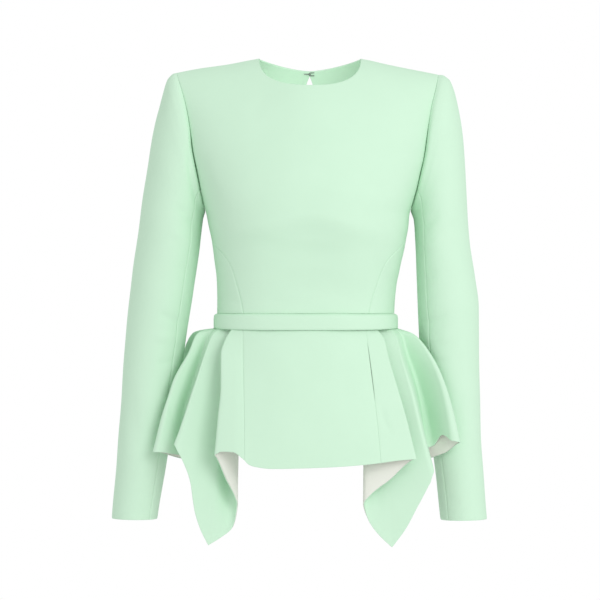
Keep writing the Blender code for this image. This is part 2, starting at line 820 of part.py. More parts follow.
def cascade_grid(left):
    folds = FOLDS_LEFT if left else FOLDS_RIGHT
    hem = HEM_LEFT if left else HEM_RIGHT
    lines = []
    for level in range(len(LEVELS)):
        row = PEPLUM_FRONT[level]
        start = (row[0] if left else -row[1], row[2])
        line, marks = fold_line(folds, level, start, (0.0, BACK_MIDDLE[level]), not left)
        lines.append(line)
    lines = np.array(lines)
    drops = curve(marks, column(hem, 0), column(hem, 1))
    grid = np.zeros((len(DROP_ROWS), lines.shape[1], 3))
    for j in range(lines.shape[1]):
        xs = curve(DROP_ROWS, LEVELS, lines[:, j, 0])
        ys = curve(DROP_ROWS, LEVELS, lines[:, j, 1])
        top = band_low(lines[0, j, 1]) - 0.4
        grid[:, j, 0] = xs
        grid[:, j, 1] = ys
        grid[:, j, 2] = top + (drops[j] - top) * np.array(DROP_ROWS)
    return grid


def front_grid(steps):
    grid = np.zeros((len(DROP_ROWS), steps + 1, 3))
    table = [curve(DROP_ROWS, LEVELS, column(PEPLUM_FRONT, k)) for k in range(4)]
    for i, t in enumerate(DROP_ROWS):
        lx, rx, ey, my = (table[k][i] for k in range(4))
        for j in range(steps + 1):
            s = j / steps
            x = rx + (lx - rx) * s
            y = my + (ey - my) * abs(2 * s - 1) ** 2.3
            top = band_low(y) - 0.4
            end = float(curve(x, column(HEM_FRONT, 0), column(HEM_FRONT, 1)))
            grid[i, j] = (x, y, top + (end - top) * t)
    return grid


def side_seam_step():
    """Column at the middle of the fold where the side seam lies."""
    return sum(RUN_STEPS[:SIDE_FOLD]) + sum(TURN_STEPS[:SIDE_FOLD - 1]) + 2


def build_peplum(cloth, lining):
    left = cascade_grid(True)
    right = cascade_grid(False)[:, ::-1]
    front = front_grid(14)
    whole = np.concatenate([right[:, :-1], front[:, :-1], left], axis=1)
    normals = grid_normals(whole)
    for j in (0, -1):
        normals[:, j, 0] = 0.0
        normals[:, j] /= np.linalg.norm(normals[:, j], axis=1, keepdims=True)
    a = right.shape[1] - 1
    b = a + 14
    step = side_seam_step()
    last = whole.shape[1] - 1
    cuts = (("peplum_back_r", 0, a - step), ("peplum_side_r", a - step, a),
            ("peplum_front", a, b), ("peplum_side_l", b, b + step),
            ("peplum_back_l", b + step, last))
    for name, i, j in cuts:
        part = pull_in(whole[:, i:j + 1], SEAM_HALF, SEAM_HALF, 0.0, 0.0)
        wall(name, part, normals[:, i:j + 1], PEPLUM_WALL, cloth)
    first = LINING_FIRST_ROW
    for name, i, j in (("cascade_lining_l", b, b + step), ("cascade_lining_r", a - step, a)):
        back = whole[first:, i:j + 1] - normals[first:, i:j + 1] * (PEPLUM_WALL + LINING_SPACE)
        back = pull_in(back, LINING_SHORT, LINING_SHORT, 0.0, LINING_SHORT)
        wall(name, back, normals[first:, i:j + 1], LINING_WALL, lining)


def wire(name, path, radius, sides, up, look):
    """Round wire along an open path, closed at both ends."""
    path = np.array(path, float)
    rings = []
    for i in range(len(path)):
        way = path[min(i + 1, len(path) - 1)] - path[max(i - 1, 0)]
        way = way / np.linalg.norm(way)
        a = np.cross(way, up)
        a = a / np.linalg.norm(a)
        b = np.cross(way, a)
        for k in range(sides):
            t = 2 * math.pi * k / sides
            rings.append(path[i] + radius * (math.cos(t) * a + math.sin(t) * b))
    faces = []
    for i in range(len(path) - 1):
        for k in range(sides):
            n = (k + 1) % sides
            faces.append((i * sides + k, i * sides + n, (i + 1) * sides + n, (i + 1) * sides + k))
    faces.append(tuple(range(sides))[::-1])
    faces.append(tuple((len(path) - 1) * sides + k for k in range(sides)))
    return add_mesh(name, rings, faces, look)


def behind_neck(x, z, off):
    """Spot off the inside of the back, near the neck edge."""
    turn = turn_of(x, z, False)
    return body(turn, z) - body_normal(turn, z) * (BODICE_WALL + off)


def build_fastening(look):
    eye = [behind_neck(x, z, FASTENING_OFF) for x, z in EYE_PATH]
    wire("eye", eye, WIRE_RADIUS, 6, np.array((0.0, 1.0, 0.0)), look)
    hook = [behind_neck(x, FASTENING_Z, off) for x, off in HOOK_PATH]
    wire("hook", hook, WIRE_RADIUS, 6, np.array((0.0, 0.0, 1.0)), look)


def main():
    for piece in list(bpy.data.objects):
        bpy.data.objects.remove(piece, do_unlink=True)
    cloth = ("mint_crepe", MINT, 0.85, 0.0)
    lining = ("cream_lining", CREAM, 0.7, 0.0)
    build_bodice(cloth)
    build_back(cloth)
    build_sleeves(cloth)
    build_band(cloth)
    build_peplum(cloth, lining)
    build_fastening(("steel", STEEL, 0.35, 1.0))


main()
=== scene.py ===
"""Looks of the long-sleeved peplum top: cloth panels with seams, folds and creases.

The tables are in millimetres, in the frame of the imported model.
"""
import math

import bpy
import numpy as np
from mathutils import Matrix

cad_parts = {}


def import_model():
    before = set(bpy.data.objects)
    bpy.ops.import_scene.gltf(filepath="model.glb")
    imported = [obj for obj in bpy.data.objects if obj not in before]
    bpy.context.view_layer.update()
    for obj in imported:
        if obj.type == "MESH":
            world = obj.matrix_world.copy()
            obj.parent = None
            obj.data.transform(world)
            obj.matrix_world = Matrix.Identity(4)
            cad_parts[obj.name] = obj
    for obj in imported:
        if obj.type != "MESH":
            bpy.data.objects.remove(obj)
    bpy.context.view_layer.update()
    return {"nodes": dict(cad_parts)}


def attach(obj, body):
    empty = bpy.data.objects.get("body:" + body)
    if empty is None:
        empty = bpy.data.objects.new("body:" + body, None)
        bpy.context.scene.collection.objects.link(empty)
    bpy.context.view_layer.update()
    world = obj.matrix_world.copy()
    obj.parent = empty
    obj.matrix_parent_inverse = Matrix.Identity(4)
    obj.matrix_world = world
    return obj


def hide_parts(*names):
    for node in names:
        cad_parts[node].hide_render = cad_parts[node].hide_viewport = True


MM = 0.001

# Cloth walls, seams and edges.
BODICE_WALL = 1.6
SLEEVE_WALL = 1.6
BAND_WALL = 1.6
PEPLUM_WALL = 1.2
LINING_WALL = 1.0
LINING_SPACE = 0.05
LINING_SHORT = 0.6
SEAM_HALF = 0.06
SEAM_STEPS = (0.0, 0.5, 1.2, 2.2, 4.0)
SEAM_DIP = 0.75
ARMHOLE_DIP = 0.2
CENTRE_DIP = 0.5
NECK_DIP = 0.3
BAND_SEAM_DIP = 0.1
BAND_HEM_DIP = 0.2
CUFF_DIP = 0.4
PEPLUM_SEAM_DIP = 0.3
PEPLUM_HEM_DIP = 0.1
SEAM_REACH = 1.1

# Body form.
FORM_POWER = 2.4
SHOULDER_Y = 8.0
NECK_MIDDLE = 5.0
NECK_HALF = 70.0
NECK_FRONT_DROP = 41.0
NECK_BACK_DROP = 14.0
NECK_POWER = 2.5
NECK_BACK_POWER = 1.5
SHOULDER_LEFT = -178.0
SHOULDER_RIGHT = 182.0
ARMHOLE_LOW = -210.0
ARMHOLE_TURN = math.radians(36.0)
BAND_TOP = -352.0
BAND_LOW = -372.5
BAND_SAG = 0.025
SEAM_FOOT = -236.0

# Keyhole at the centre back.
KEYHOLE_TOP = -20.5
KEYHOLE_LOW = -46.0
KEYHOLE_HALF = 5.3

# Shoulder line: x, height.  Between the neck points it closes the form.
SHOULDER = np.array((
    (-178.0, -19.3),
    (-148.0, -13.6),
    (-108.0, -7.8),
    (-81.0, -2.8),
    (-65.0, 0.0),
    (5.0, 15.0),
    (75.0, 0.0),
    (89.0, -2.8),
    (107.0, -7.2),
    (136.0, -13.3),
    (166.0, -18.9),
    (182.0, -22.0),
))

# Front-seam line of the armhole: height, left x, right x.
ARMHOLE = np.array((
    (-24.0, -178.0, 182.0),
    (-44.0, -171.5, 177.5),
    (-68.0, -165.0, 171.5),
    (-95.0, -160.0, 167.0),
    (-137.0, -154.0, 161.0),
    (-178.0, -146.5, 152.5),
    (-210.0, -139.5, 144.0),
))

# Body below the armhole: height, left x, right x.
TRUNK = np.array((
    (-215.0, -138.0, 142.6),
    (-232.0, -134.6, 141.0),
    (-248.0, -131.0, 138.0),
    (-265.0, -128.4, 134.8),
    (-281.0, -126.6, 131.0),
    (-298.0, -124.4, 127.6),
    (-315.0, -123.2, 124.4),
    (-331.0, -122.8, 122.6),
    (-352.0, -123.2, 121.6),
    (-390.0, -125.0, 123.6),
))

# How far the front and back stand out at each drop below the shoulder line.
DEPTH = np.array((
    (0.0, 0.0, 0.0),
    (6.0, 24.0, 20.0),
    (14.0, 38.0, 32.0),
    (28.0, 54.0, 44.5),
    (50.0, 72.0, 58.0),
    (85.0, 94.0, 74.0),
    (125.0, 111.0, 86.0),
    (165.0, 123.0, 93.0),
    (200.0, 130.0, 95.5),
    (232.0, 128.5, 94.0),
    (262.0, 117.0, 90.0),
    (300.0, 102.5, 84.5),
    (340.0, 92.0, 80.0),
    (420.0, 89.0, 79.0),
))

# Curved side-front seam: height, degrees round from the side seam.
CURVED_SEAM = np.array((
    (-236.0, 0.0),
    (-237.0, 0.6),
    (-245.0, 6.0),
    (-255.5, 14.2),
    (-263.0, 21.8),
    (-270.0, 29.0),
    (-280.0, 35.4),
    (-294.0, 39.6),
    (-312.0, 43.0),
    (-331.0, 46.4),
    (-352.0, 49.4),
))

# Sleeve rings: outer x, outer z, inner x, inner z, middle y, half depth.
SLEEVE_LEFT = (
    (-184.5, -22.3, -139.8, -213.0, 8.0, 51.0),
    (-190.8, -27.5, -141.0, -217.0, 8.0, 54.0),
    (-197.3, -44.0, -142.4, -222.0, 8.0, 55.5),
    (-204.4, -70.0, -143.8, -231.0, 9.0, 56.5),
    (-212.5, -108.0, -146.0, -246.0, 10.0, 57.0),
    (-219.6, -150.0, -148.4, -267.0, 11.0, 56.5),
    (-227.0, -200.0, -151.4, -291.0, 12.0, 55.0),
    (-234.0, -250.0, -156.0, -320.0, 13.0, 53.0),
    (-241.0, -300.0, -161.4, -352.0, 15.0, 51.0),
    (-247.0, -350.0, -166.2, -384.0, 17.0, 49.0),
    (-251.5, -400.0, -171.0, -420.0, 18.0, 47.0),
    (-256.3, -470.0, -180.6, -480.0, 18.0, 44.0),
    (-260.5, -530.0, -189.4, -535.0, 16.0, 41.5),
    (-264.6, -580.0, -197.6, -582.0, 14.0, 39.5),
    (-269.0, -635.0, -206.0, -636.0, 11.0, 37.5),
)
SLEEVE_RIGHT = (
    (190.5, -24.3, 144.8, -213.0, 8.0, 51.0),
    (197.2, -28.5, 146.4, -217.0, 8.0, 54.0),
    (204.0, -43.5, 148.2, -222.0, 8.0, 55.5),
    (209.4, -66.0, 149.4, -231.0, 9.0, 56.5),
    (215.8, -106.0, 150.4, -246.0, 10.0, 57.0),
    (219.8, -150.0, 151.4, -267.0, 11.0, 56.5),
    (222.0, -205.0, 152.2, -291.0, 12.0, 55.0),
    (226.5, -255.0, 153.4, -320.0, 13.0, 53.0),
    (233.5, -302.0, 154.6, -352.0, 15.0, 51.0),
    (239.0, -345.0, 156.4, -384.0, 17.0, 49.0),
    (239.4, -400.0, 159.0, -420.0, 18.0, 47.0),
    (240.6, -470.0, 166.0, -480.0, 18.0, 44.0),
    (242.4, -530.0, 173.8, -535.0, 16.0, 41.5),
    (245.4, -580.0, 179.6, -582.0, 14.0, 39.5),
    (250.0, -636.0, 185.6, -637.0, 11.0, 37.5),
)
SLEEVE_ROUND = 144
SLEEVE_ROWS = 220
SLEEVE_SEAM_SHARE = 0.75
# Share of the armhole's length after which no row starts before its foot.
ARMHOLE_LAST_ROW = 0.94

# Waistband profile: share of its height, how far it stands out.
BAND_PROFILE = np.array((
    (0.0, 0.4),
    (0.12, 4.4),
    (0.5, 5.2),
    (0.88, 5.2),
    (1.0, 4.2),
))

BAND_STEPS = 280
BAND_ROWS = (0.0, 0.03, 0.07, 0.12, 0.2, 0.3, 0.4, 0.5, 0.6, 0.7, 0.8, 0.88, 0.94, 0.98, 1.0)

# Peplum levels, as shares of the drop from the waist seam to the hem.
LEVELS = (0.0, 0.07, 0.2, 0.45, 0.7, 1.0)

# Folds of the peplum, front to back.  Each row is one fold: its name, the way
# the cloth turns on it, x and y of the fold's outermost line at each level,
# then the radius of the fold at the waist and at the hem.
FOLDS_LEFT = (
    ("front_edge", 1, (-102.5, -110.0, -116.5, -116.5, -120.0, -125.0),
     (-56.0, -61.0, -68.0, -79.0, -87.0, -94.0), 2.2, 5.0),
    ("inner_fold", -1, (-82.0, -82.5, -85.0, -91.0, -94.8, -95.2),
     (-57.0, -54.0, -52.0, -56.0, -62.0, -68.0), 1.8, 3.5),
    ("second_edge", 1, (-119.0, -129.0, -138.5, -151.5, -164.5, -180.5),
     (-33.0, -39.0, -44.0, -53.0, -60.0, -65.0), 2.2, 5.0),
    ("side_hollow", -1, (-123.0, -132.0, -140.5, -153.0, -163.0, -164.0),
     (-20.0, -23.0, -25.0, -31.0, -37.0, -42.0), 2.5, 6.0),
    ("side_edge", 1, (-127.5, -150.0, -162.5, -185.0, -197.5, -210.5),
     (-6.0, -16.0, -24.0, -34.0, -40.0, -44.0), 2.5, 6.0),
    ("sleeve_hollow", -1, (-127.0, -132.0, -139.0, -149.0, -157.0, -163.0),
     (12.0, 11.0, 10.0, 10.0, 10.0, 10.0), 4.0, 14.0),
    ("rear_edge", 1, (-124.0, -158.0, -172.0, -184.0, -192.0, -198.0),
     (32.0, 44.0, 58.0, 74.0, 84.0, 92.0), 4.0, 16.0),
    ("rear_hollow", -1, (-101.0, -106.0, -112.0, -120.0, -127.0, -132.0),
     (58.0, 62.0, 70.0, 81.0, 89.0, 96.0), 6.0, 20.0),
    ("back_edge", 1, (-78.0, -82.0, -88.0, -96.0, -101.0, -105.0),
     (76.0, 85.0, 96.0, 113.0, 126.0, 136.0), 6.0, 24.0),
    ("back_hollow", -1, (-42.0, -43.0, -45.0, -47.0, -49.0, -50.0),
     (83.5, 88.0, 94.0, 105.0, 113.0, 120.0), 8.0, 24.0),
)
FOLDS_RIGHT = (
    ("front_edge", 1, (97.0, 106.0, 111.5, 123.5, 136.0, 149.0),
     (-56.0, -61.0, -68.0, -79.0, -87.0, -94.0), 2.2, 5.0),
    ("inner_fold", -1, (79.0, 78.5, 78.0, 78.3, 79.5, 79.0),
     (-57.0, -60.0, -64.0, -71.0, -76.0, -80.0), 1.8, 3.5),
    ("second_edge", 1, (117.0, 123.5, 130.5, 145.0, 157.0, 173.5),
     (-33.0, -42.0, -50.0, -60.0, -66.0, -70.0), 2.2, 5.0),
    ("side_hollow", -1, (121.5, 130.0, 136.0, 149.0, 158.0, 165.0),
     (-20.0, -21.0, -22.0, -26.0, -31.0, -36.0), 2.5, 6.0),
    ("side_edge", 1, (126.0, 148.5, 168.0, 188.0, 200.0, 210.0),
     (-6.0, -18.0, -28.0, -40.0, -45.0, -48.0), 2.5, 8.0),
    ("sleeve_hollow", -1, (125.5, 130.0, 137.0, 146.0, 151.0, 157.0),
     (12.0, 9.0, 6.0, 4.0, 4.0, 6.0), 4.0, 12.0),
    ("rear_edge", 1, (122.0, 146.0, 160.0, 175.0, 184.0, 190.0),
     (32.0, 44.0, 58.0, 74.0, 84.0, 92.0), 4.0, 16.0),
    ("rear_hollow", -1, (99.0, 104.0, 110.0, 118.0, 125.0, 130.0),
     (58.0, 62.0, 70.0, 81.0, 89.0, 96.0), 6.0, 20.0),
    ("back_edge", 1, (76.0, 80.0, 86.0, 94.0, 99.0, 103.0),
     (76.0, 85.0, 96.0, 113.0, 126.0, 136.0), 6.0, 24.0),
    ("back_hollow", -1, (40.0, 41.0, 43.0, 45.0, 47.0, 48.0),
     (83.5, 88.0, 94.0, 105.0, 113.0, 120.0), 8.0, 24.0),
)

# How far back the middle of the peplum's back stands at each level.
BACK_MIDDLE = (88.6, 92.5, 99.0, 111.0, 120.0, 128.0)

# Front panel of the peplum at each level: left seam x, right seam x, y at the
# seams, y in the middle.
PEPLUM_FRONT = np.array((
    (-86.5, 82.0, -67.0, -84.6),
    (-86.4, 82.6, -70.0, -87.0),
    (-86.0, 85.5, -76.0, -92.0),
    (-85.0, 91.0, -88.0, -101.0),
    (-84.0, 96.0, -98.0, -109.0),
    (-83.5, 100.5, -108.0, -116.0),
))

# Hem heights: fold number along the cascade, height.
HEM_LEFT = np.array((
    (0.0, -549.5),
    (0.4, -538.5),
    (0.75, -538.0),
    (1.0, -543.0),
    (1.5, -576.0),
    (2.0, -614.0),
    (2.12, -645.0),
    (2.3, -657.0),
    (2.47, -665.4),
    (2.5, -667.0),
    (2.53, -661.6),
    (2.6, -647.5),
    (2.69, -619.0),
    (2.74, -583.0),
    (2.82, -559.0),
    (2.91, -541.0),
    (3.0, -530.5),
    (4.0, -546.0),
    (5.0, -541.0),
    (6.0, -553.0),
    (7.0, -548.0),
    (8.0, -536.0),
    (9.0, -552.0),
    (10.0, -540.0),
    (11.0, -548.0),
))
HEM_RIGHT = np.array((
    (0.0, -553.0),
    (0.5, -550.0),
    (1.0, -548.5),
    (1.5, -577.0),
    (2.0, -611.0),
    (2.12, -635.0),
    (2.3, -654.0),
    (2.47, -666.9),
    (2.5, -669.0),
    (2.53, -664.4),
    (2.65, -644.0),
    (2.8, -609.0),
    (3.0, -569.0),
    (4.0, -536.0),
    (4.5, -518.0),
    (5.0, -527.0),
    (5.4, -544.0),
    (6.0, -553.0),
    (7.0, -548.0),
    (8.0, -536.0),
    (9.0, -552.0),
    (10.0, -540.0),
    (11.0, -548.0),
))
HEM_FRONT = np.array((
    (-84.0, -549.5),
    (-77.5, -555.5),
    (-68.0, -558.5),
    (-46.0, -560.8),
    (0.0, -559.8),
    (40.0, -558.2),
    (80.0, -555.2),
    (101.0, -553.0),
))
TIP_LEFT = 0.45
TIP_RIGHT = 0.39
# How level the flounce leaves the waist seam at the sides, and over what share of the drop.
FLARE_LEFT = 0.75
FLARE_RIGHT = 0.35
FLARE_REACH = 0.1
# Fold numbers between which it flares: from, full, full, to.
FLARE_FOLDS = (2.4, 3.4, 8.0, 10.0)
RUN_STEPS = (16, 18, 36, 10, 18, 20, 20, 14, 14, 12, 16)
TURN_STEPS = (14, 14, 14, 12, 14, 16, 16, 12, 14, 12)
SIDE_FOLD = 6
DROP_ROWS = 90
FRONT_STEPS = 70
# Share of the rows above which the cascades have no lining.
LINING_FROM = 0.12

# Soft creases.  Each row is one: start x and z, end x and z, how deep it sinks
# (below 0 it is a ridge), how wide it is.
CREASES_FRONT = (
    (-102.0, -252.0, 126.0, -259.0, 1.1, 13.0),
    (-148.0, -126.0, -115.0, -216.0, 2.0, 11.0),
    (162.0, -140.0, 140.0, -212.0, 1.2, 9.0),
    (-117.0, -190.0, -61.0, -157.0, -0.6, 10.0),
    (-50.0, -51.0, -79.0, -99.0, 0.5, 10.0),
    (63.0, -154.0, 118.0, -190.0, 0.6, 9.0),
    (-61.0, -328.0, 16.0, -339.0, 0.5, 8.0),
    (90.0, -281.0, 131.0, -314.0, 0.7, 8.0),
    (-117.0, -322.0, -83.0, -342.0, 0.5, 7.0),
)
CREASES_BACK = (
    (-118.0, -120.0, -60.0, -96.0, 0.8, 12.0),
    (122.0, -118.0, 64.0, -100.0, 0.7, 11.0),
    (-142.0, -178.0, -100.0, -218.0, 1.5, 10.0),
    (148.0, -176.0, 108.0, -214.0, 1.4, 9.0),
    (-104.0, -298.0, -28.0, -307.0, 1.4, 6.0),
    (-98.0, -316.0, -18.0, -326.0, -1.2, 6.5),
    (-90.0, -334.0, -34.0, -341.0, 1.1, 5.0),
    (24.0, -310.0, 102.0, -299.0, -1.2, 6.5),
    (16.0, -332.0, 92.0, -322.0, 1.3, 6.0),
    (-72.0, -280.0, -14.0, -287.0, 0.8, 7.0),
    (38.0, -284.0, 98.0, -274.0, 0.9, 7.0),
    (4.0, -60.0, -26.0, -114.0, 0.5, 9.0),
    (4.0, -60.0, 36.0, -104.0, 0.5, 9.0),
)
CREASES_SLEEVE_LEFT = (
    (-191.0, -34.0, -203.0, -86.0, 1.2, 8.0),
    (-157.0, -100.0, -143.0, -222.0, 2.6, 5.0),
    (-149.0, -238.0, -180.0, -204.0, 1.5, 6.0),
    (-152.0, -262.0, -190.0, -236.0, -1.1, 7.0),
    (-155.0, -300.0, -182.0, -286.0, 0.8, 7.0),
    (-166.0, -372.0, -206.0, -352.0, 1.4, 6.0),
    (-168.0, -392.0, -214.0, -384.0, -1.2, 7.0),
    (-172.0, -416.0, -207.0, -425.0, 1.0, 6.0),
    (-237.0, -440.0, -222.0, -560.0, 0.8, 10.0),
    (-206.0, -607.0, -233.0, -598.0, 0.5, 6.0),
)
CREASES_SLEEVE_RIGHT = (
    (153.0, -238.0, 183.0, -211.0, 1.3, 6.0),
    (154.0, -264.0, 188.0, -245.0, -1.0, 7.0),
    (154.0, -306.0, 180.0, -294.0, 0.7, 7.0),
    (155.0, -366.0, 197.0, -352.0, 1.3, 6.0),
    (157.0, -387.0, 205.0, -380.0, -1.1, 7.0),
    (161.0, -411.0, 197.0, -417.0, 0.9, 6.0),
    (222.0, -430.0, 212.0, -545.0, 0.7, 10.0),
    (189.0, -603.0, 214.0, -611.0, 0.5, 6.0),
)
CREASES_SLEEVE_BACK_LEFT = (
    (-150.0, -226.0, -184.0, -190.0, 1.5, 7.0),
    (-153.0, -258.0, -196.0, -232.0, -1.1, 8.0),
    (-176.0, -348.0, -228.0, -336.0, 1.4, 7.0),
    (-174.0, -372.0, -238.0, -362.0, -1.6, 7.0),
    (-180.0, -396.0, -242.0, -392.0, 1.6, 6.0),
    (-184.0, -424.0, -236.0, -428.0, -1.0, 8.0),
    (-240.0, -470.0, -226.0, -566.0, 0.8, 10.0),
)
CREASES_SLEEVE_BACK_RIGHT = (
    (154.0, -230.0, 186.0, -194.0, 1.4, 7.0),
    (155.0, -262.0, 192.0, -238.0, -1.0, 8.0),
    (164.0, -342.0, 222.0, -332.0, 1.3, 7.0),
    (163.0, -366.0, 230.0, -358.0, -1.5, 7.0),
    (167.0, -390.0, 232.0, -388.0, 1.5, 6.0),
    (172.0, -416.0, 224.0, -423.0, -1.0, 8.0),
    (228.0, -462.0, 214.0, -560.0, 0.8, 10.0),
)
CREASES_PEPLUM = (
    (100.0, -472.0, 117.0, -520.0, 1.2, 4.5),
    (-188.0, -433.0, -172.0, -528.0, 1.0, 8.0),
    (-46.0, -398.0, -58.0, -522.0, 0.5, 12.0),
    (52.0, -390.0, 61.0, -500.0, 0.5, 11.0),
)
# The roped head of the sleeve: how far from the armhole, how high, how wide.
ROPE = (6.5, 1.1, 4.0)
# Deep valleys of the cascades: fold number, how wide, depth at each level.
VALLEYS_LEFT = (
    (2.14, 0.2, (0.0, 10.0, 20.0, 22.0, 18.0, 8.0)),
    (4.0, 0.35, (0.0, 2.0, 4.0, 8.0, 10.0, 9.0)),
)
VALLEYS_RIGHT = (
    (2.2, 0.22, (0.0, 8.0, 16.0, 14.0, 5.0, 0.0)),
    (4.0, 0.4, (0.0, 0.0, 2.0, 7.0, 10.0, 9.0)),
)
# Where the right seam of the peplum's front stands open: from, to, half width.
SLIT = (-392.0, -470.0, 0.45)

# Colours of the cloth and its grain: light and dark tone.
MINT_LIGHT = (0.63, 0.865, 0.675)
MINT_DARK = (0.605, 0.84, 0.65)
CREAM_LIGHT = (0.86, 0.87, 0.80)
CREAM_DARK = (0.83, 0.84, 0.77)

# Camera and light.
CAMERA_Y = -4.5
CAMERA_X = -0.0088
CAMERA_Z = -0.3335
VIEW_WIDTH = 0.828
SENSOR = 0.036
SKY_LIGHT = 0.79
FLOOR_Z = -0.95
FLOOR_SIZE = 1.7
# Lamps: name, place, what it points at, size, power.
LAMPS = (
    ("inside_neck", (0.005, -0.045, -0.11), (0.005, 0.04, -0.02), (0.12, 0.05), 0.085),
    ("key", (1.9, -3.25, 1.04), (0.0, 0.0, -0.33), (2.0, 2.0), 50.0),
)


def curve(at, xs, ys):
    """Smooth line through a table that never overshoots its rows."""
    xs = np.asarray(xs, float)
    ys = np.asarray(ys, float)
    if xs[0] > xs[-1]:
        xs = xs[::-1]
        ys = ys[::-1]
    at = np.clip(np.asarray(at, float), xs[0], xs[-1])
    h = np.diff(xs)
    d = np.diff(ys) / h
    m = np.zeros(len(xs))
    m[0] = d[0]
    m[-1] = d[-1]
    for k in range(1, len(xs) - 1):
        if d[k - 1] * d[k] > 0:
            a = 2 * h[k] + h[k - 1]
            b = h[k] + 2 * h[k - 1]
            m[k] = (a + b) / (a / d[k - 1] + b / d[k])
    k = np.clip(np.searchsorted(xs, at, side="right") - 1, 0, len(xs) - 2)
    t = (at - xs[k]) / h[k]
    t2 = t * t
    t3 = t2 * t
    return ((2 * t3 - 3 * t2 + 1) * ys[k] + (t3 - 2 * t2 + t) * h[k] * m[k]
            + (3 * t2 - 2 * t3) * ys[k + 1] + (t3 - t2) * h[k] * m[k + 1])


def unit(v):
    return v / np.maximum(np.linalg.norm(v, axis=-1, keepdims=True), 1e-9)


def shoulder_height(x):
    return curve(x, SHOULDER[:, 0], SHOULDER[:, 1])


def armhole_turn(z):
    """Angle from the side at which the armhole lies at a height."""
    top = ARMHOLE[0, 0]
    share = np.clip((top - z) / (top - ARMHOLE_LOW), 0.0, 1.0)
    along = np.arccos(1 - 2 * share) / math.pi
    return ARMHOLE_TURN * np.cos(math.pi * along / 2)


def form_width(z, left):
    """Half width of the body form at a height, on the left where left is true."""
    z = np.asarray(z, float)
    wide = []
    for number in (2, 1):
        upper = np.abs(curve(z, ARMHOLE[:, 0], ARMHOLE[:, number]))
        upper = upper / np.cos(armhole_turn(z)) ** (2 / FORM_POWER)
        heights = np.concatenate([[ARMHOLE_LOW], TRUNK[:, 0]])
        widths = np.concatenate([[ARMHOLE[-1, number]], TRUNK[:, number]])
        lower = np.abs(curve(z, heights, widths))
        wide.append(np.where(z >= ARMHOLE_LOW, upper, lower))
    return np.where(left, wide[1], wide[0])


def form_depth(drop, front):
    roots = np.sqrt(DEPTH[:, 0])
    at = np.sqrt(np.maximum(drop, 0.0))
    return np.where(front, curve(at, roots, DEPTH[:, 1]), curve(at, roots, DEPTH[:, 2]))


def body(turn, z):
    """Points of the body form; turn runs right side, front, left side, back."""
    c = np.cos(turn)
    s = np.sin(turn)
    x = form_width(z, c < 0) * np.sign(c) * np.abs(c) ** (2 / FORM_POWER)
    depth = form_depth(shoulder_height(x) - z, s >= 0)
    y = SHOULDER_Y - depth * np.sign(s) * np.abs(s) ** (2 / FORM_POWER)
    return np.stack([x, y, z + 0 * x], axis=-1)


def body_normal(turn, z):
    a = 0.004
    side = body(turn + a, z) - body(turn - a, z)
    down = body(turn, z - 0.8) - body(turn, z + 0.8)
    return unit(np.cross(side, down))


def turn_of(x, z, front):
    share = np.minimum(np.abs(x) / form_width(z, x < 0), 1.0)
    a = np.arccos(share ** (FORM_POWER / 2))
    if front:
        return np.where(x >= 0, a, math.pi - a)
    return np.where(x < 0, math.pi + a, 2 * math.pi - a)


def spaced(length, steps, first=True, last=True):
    """Shares along a line of some length, close together at the edges named."""
    inner = np.linspace(0, 1, steps + 1)
    near = np.array(SEAM_STEPS) / length
    if first:
        inner = np.concatenate([near, inner[inner > near[-1] * 1.3]])
    if last:
        inner = np.concatenate([inner[inner < 1 - near[-1] * 1.3], 1 - near[::-1]])
    return inner


def along(line, shares):
    """Points of a dense line at shares of its count of points."""
    line = np.asarray(line)
    at = np.asarray(shares) * (len(line) - 1)
    steps = np.arange(len(line))
    return np.stack([np.interp(at, steps, line[:, k]) for k in range(line.shape[1])], axis=1)


def blend(top, low, start, end, drop, across):
    """Fill a panel from its four edges in the form's own coordinates."""
    t = drop[:, None, None]
    s = across[None, :, None]
    flat = (1 - t) * top[None] + t * low[None] + (1 - s) * start[:, None] + s * end[:, None]
    corner = ((1 - t) * ((1 - s) * top[0] + s * top[-1]) + t * ((1 - s) * low[0] + s * low[-1]))
    return flat - corner


def grid_normals(points, closed=False):
    if closed:
        wide = np.concatenate([points[:, -1:], points, points[:, :1]], axis=1)
        du = wide[:, 2:] - wide[:, :-2]
    else:
        du = np.gradient(points, axis=1)
    dv = np.gradient(points, axis=0)
    return unit(np.cross(du, dv))


def edge_dips(points, first, last, top, low):
    """How far each point sinks beside a seam or a turned edge."""
    dip = np.zeros(points.shape[:2])
    side = np.linalg.norm(np.diff(points, axis=1), axis=2)
    down = np.linalg.norm(np.diff(points, axis=0), axis=2)
    zero = np.zeros((points.shape[0], 1))
    from_first = np.concatenate([zero, np.cumsum(side, axis=1)], axis=1)
    from_last = from_first[:, -1:] - from_first
    none = np.zeros((1, points.shape[1]))
    from_top = np.concatenate([none, np.cumsum(down, axis=0)], axis=0)
    from_low = from_top[-1:] - from_top
    for far, much in ((from_first, first), (from_last, last), (from_top, top), (from_low, low)):
        dip = np.maximum(dip, much * np.exp(-(far / SEAM_REACH) ** 2))
    return dip


def pull_in(points, first=0.0, last=0.0, top=0.0, low=0.0):
    """Draw the named edges back from the seam lines."""
    p = points.copy()
    for here, there, much in ((0, 1, first), (-1, -2, last)):
        p[:, here] += unit(p[:, there] - p[:, here]) * much
    for here, there, much in ((0, 1, top), (-1, -2, low)):
        p[here] += unit(p[there] - p[here]) * much
    return p


